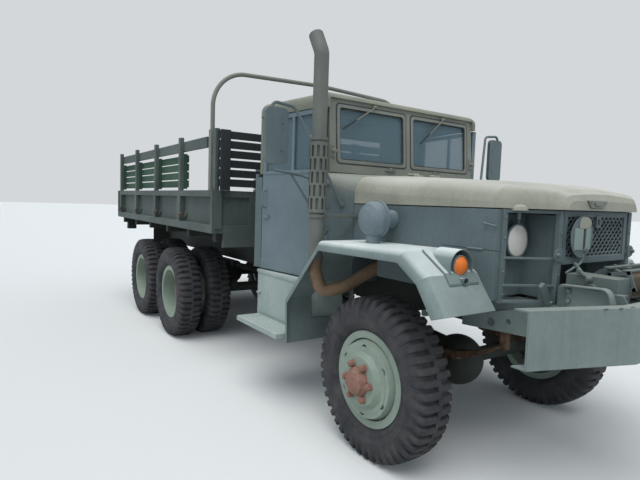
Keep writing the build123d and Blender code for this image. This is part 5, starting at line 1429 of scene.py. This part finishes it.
# Steering wheel: black hard plastic moulded over a steel ring, polished by hands.
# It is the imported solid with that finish.
black_plastic, tree, output = new_material("black_moulded_plastic")
place = add(tree, "ShaderNodeTexCoord").outputs["Object"]
rub = add(tree, "ShaderNodeTexNoise", {"Vector": place, "Scale": 60.0, "Detail": 4.0})
rub_rough = add(tree, "ShaderNodeMapRange", {0: rub.outputs["Fac"], 3: 0.34, 4: 0.55})
plastic = add(
    tree, "ShaderNodeBsdfPrincipled", {"Base Color": linear("#1b1b1a"), "Roughness": rub_rough.outputs[0]},
)
tree.links.new(plastic.outputs[0], output.inputs[0])
dress(black_plastic, "steering_wheel")

# Seats: foam pads in olive canvas sewn with a piped seam round the top, on painted steel stands.
# Each pad is blown up by cloth pressure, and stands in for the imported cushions.
canvas, tree, output = new_material("olive_cotton_canvas")
place = add(tree, "ShaderNodeTexCoord").outputs["Object"]
# Canvas threads are 0.5 mm apart; drawn at 3 mm so that the weave shows.
warp = add(
    tree, "ShaderNodeTexWave", {"Vector": place, "Scale": 105.0, "Distortion": 0.4}, bands_direction="X",
)
weft = add(
    tree, "ShaderNodeTexWave", {"Vector": place, "Scale": 105.0, "Distortion": 0.4}, bands_direction="Y",
)
weave = add(tree, "ShaderNodeMath", {0: warp.outputs["Fac"], 1: weft.outputs["Fac"]}, operation="MULTIPLY")
woven = add(tree, "ShaderNodeBump", {"Height": weave.outputs[0], "Distance": 0.0006, "Strength": 0.5})
grime = add(tree, "ShaderNodeTexNoise", {"Vector": place, "Scale": 7.0, "Detail": 5.0})
canvas_tone = add(
    tree, "ShaderNodeMix", {0: grime.outputs["Fac"], 6: linear("#3b3f2f"), 7: linear("#5c5f48")},
    data_type="RGBA",
)
canvas_shader = add(
    tree, "ShaderNodeBsdfPrincipled",
    {"Base Color": canvas_tone.outputs[2], "Roughness": 0.9, "Sheen Weight": 0.2, "Normal": woven.outputs[0]},
)
tree.links.new(canvas_shader.outputs[0], output.inputs[0])


def swollen_pad(low, high, inset, cap):
    """A box a little smaller than its place, remeshed evenly and blown up by cloth pressure, as a bmesh."""
    start = bmesh.new()
    block(
        start, Vector(low) + Vector((inset, inset, inset)), Vector(high) - Vector((inset, inset, inset)),
        chamfer=0.02,
    )
    shape = bpy.data.meshes.new("pad_before_air")
    start.to_mesh(shape)
    start.free()
    pad = bpy.data.objects.new("pad_before_air", shape)
    bpy.context.scene.collection.objects.link(pad)
    remesh = pad.modifiers.new("even_faces", "REMESH")
    remesh.mode = "VOXEL"
    remesh.voxel_size = 0.006
    shape = bpy.data.meshes.new_from_object(pad.evaluated_get(bpy.context.evaluated_depsgraph_get()))
    pad.modifiers.clear()
    pad.data = shape
    home = [vert.co.copy() for vert in shape.vertices]
    cloth = pad.modifiers.new("air", "CLOTH")
    cloth.settings.use_pressure = True
    cloth.settings.uniform_pressure_force = 4.0
    cloth.settings.effector_weights.gravity = 0.0
    for number in range(1, 21):
        bpy.context.scene.frame_set(number)
    blown = bpy.data.meshes.new_from_object(pad.evaluated_get(bpy.context.evaluated_depsgraph_get()))
    for vert, before in zip(blown.vertices, home):
        move = vert.co - before
        if move.length > cap:
            vert.co = before + move * (cap / move.length)
    made = bmesh.new()
    made.from_mesh(blown)
    bmesh.ops.smooth_vert(
        made, verts=made.verts, factor=0.5, use_axis_x=True, use_axis_y=True, use_axis_z=True,
    )
    bpy.data.objects.remove(pad)
    bpy.context.scene.frame_set(1)
    return made


# Extruded vinyl over a cord, rubbed paler along the edge of the seat.
piping = mottled("olive_vinyl_piping", "#2e3124", "#4a4d3a", 40.0, 4.0, 0.6)

floor_z = 1.108
pad_half = 0.215
pad_edge = 0.018
piping_radius = 0.0032
piping_step = 0.012
for side, middle in (("right", -0.470), ("left", 0.470)):
    pads = (
        (
            "seat", (-1.400, middle - pad_half, floor_z + 0.2625),
            (-1.012, middle + pad_half, floor_z + 0.372), 2,
        ),
        (
            "back", (-1.4235, middle - pad_half, floor_z + 0.380),
            (-1.340, middle + pad_half, floor_z + 0.760), 0,
        ),
    )
    for kind, low, high, thin in pads:
        low = at(*low)
        high = at(*high)
        mesh = swollen_pad(low, high, 0.011, 0.009)
        surface = BVHTree.FromBMesh(mesh)
        # Piping is sewn round the edge of the sitting face, half way through its rounding.
        wide = [axis for axis in range(3) if axis != thin]
        outline = rounded(
            [low[axis] + pad_edge for axis in wide], [high[axis] - pad_edge for axis in wide], 0.03,
            steps=6,
        )
        loop = []
        for i, (u, v) in enumerate(outline):
            after = outline[(i + 1) % len(outline)]
            span = math.dist((u, v), after)
            for k in range(max(1, round(span / piping_step))):
                share = k * piping_step / span if span > piping_step else 0
                point = Vector((0, 0, 0))
                point[wide[0]] = u + (after[0] - u) * share
                point[wide[1]] = v + (after[1] - v) * share
                point[thin] = high[thin] - pad_edge
                centre = (low + high) / 2
                outward = point - centre
                outward[thin] = 0.5 * outward.length
                loop.append(surface.ray_cast(centre, outward.normalized())[0] or point)
        cord = bmesh.new()
        sweep(cord, loop + loop[:1], piping_radius, around=8)
        made = piece(f"{kind}_piping_{side}", cord, piping, "chassis", smooth=50)
        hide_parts("seat_cushions")
        made = piece(f"{kind}_cushion_{side}", mesh, canvas, "chassis", smooth=60)
        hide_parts("seat_cushions")
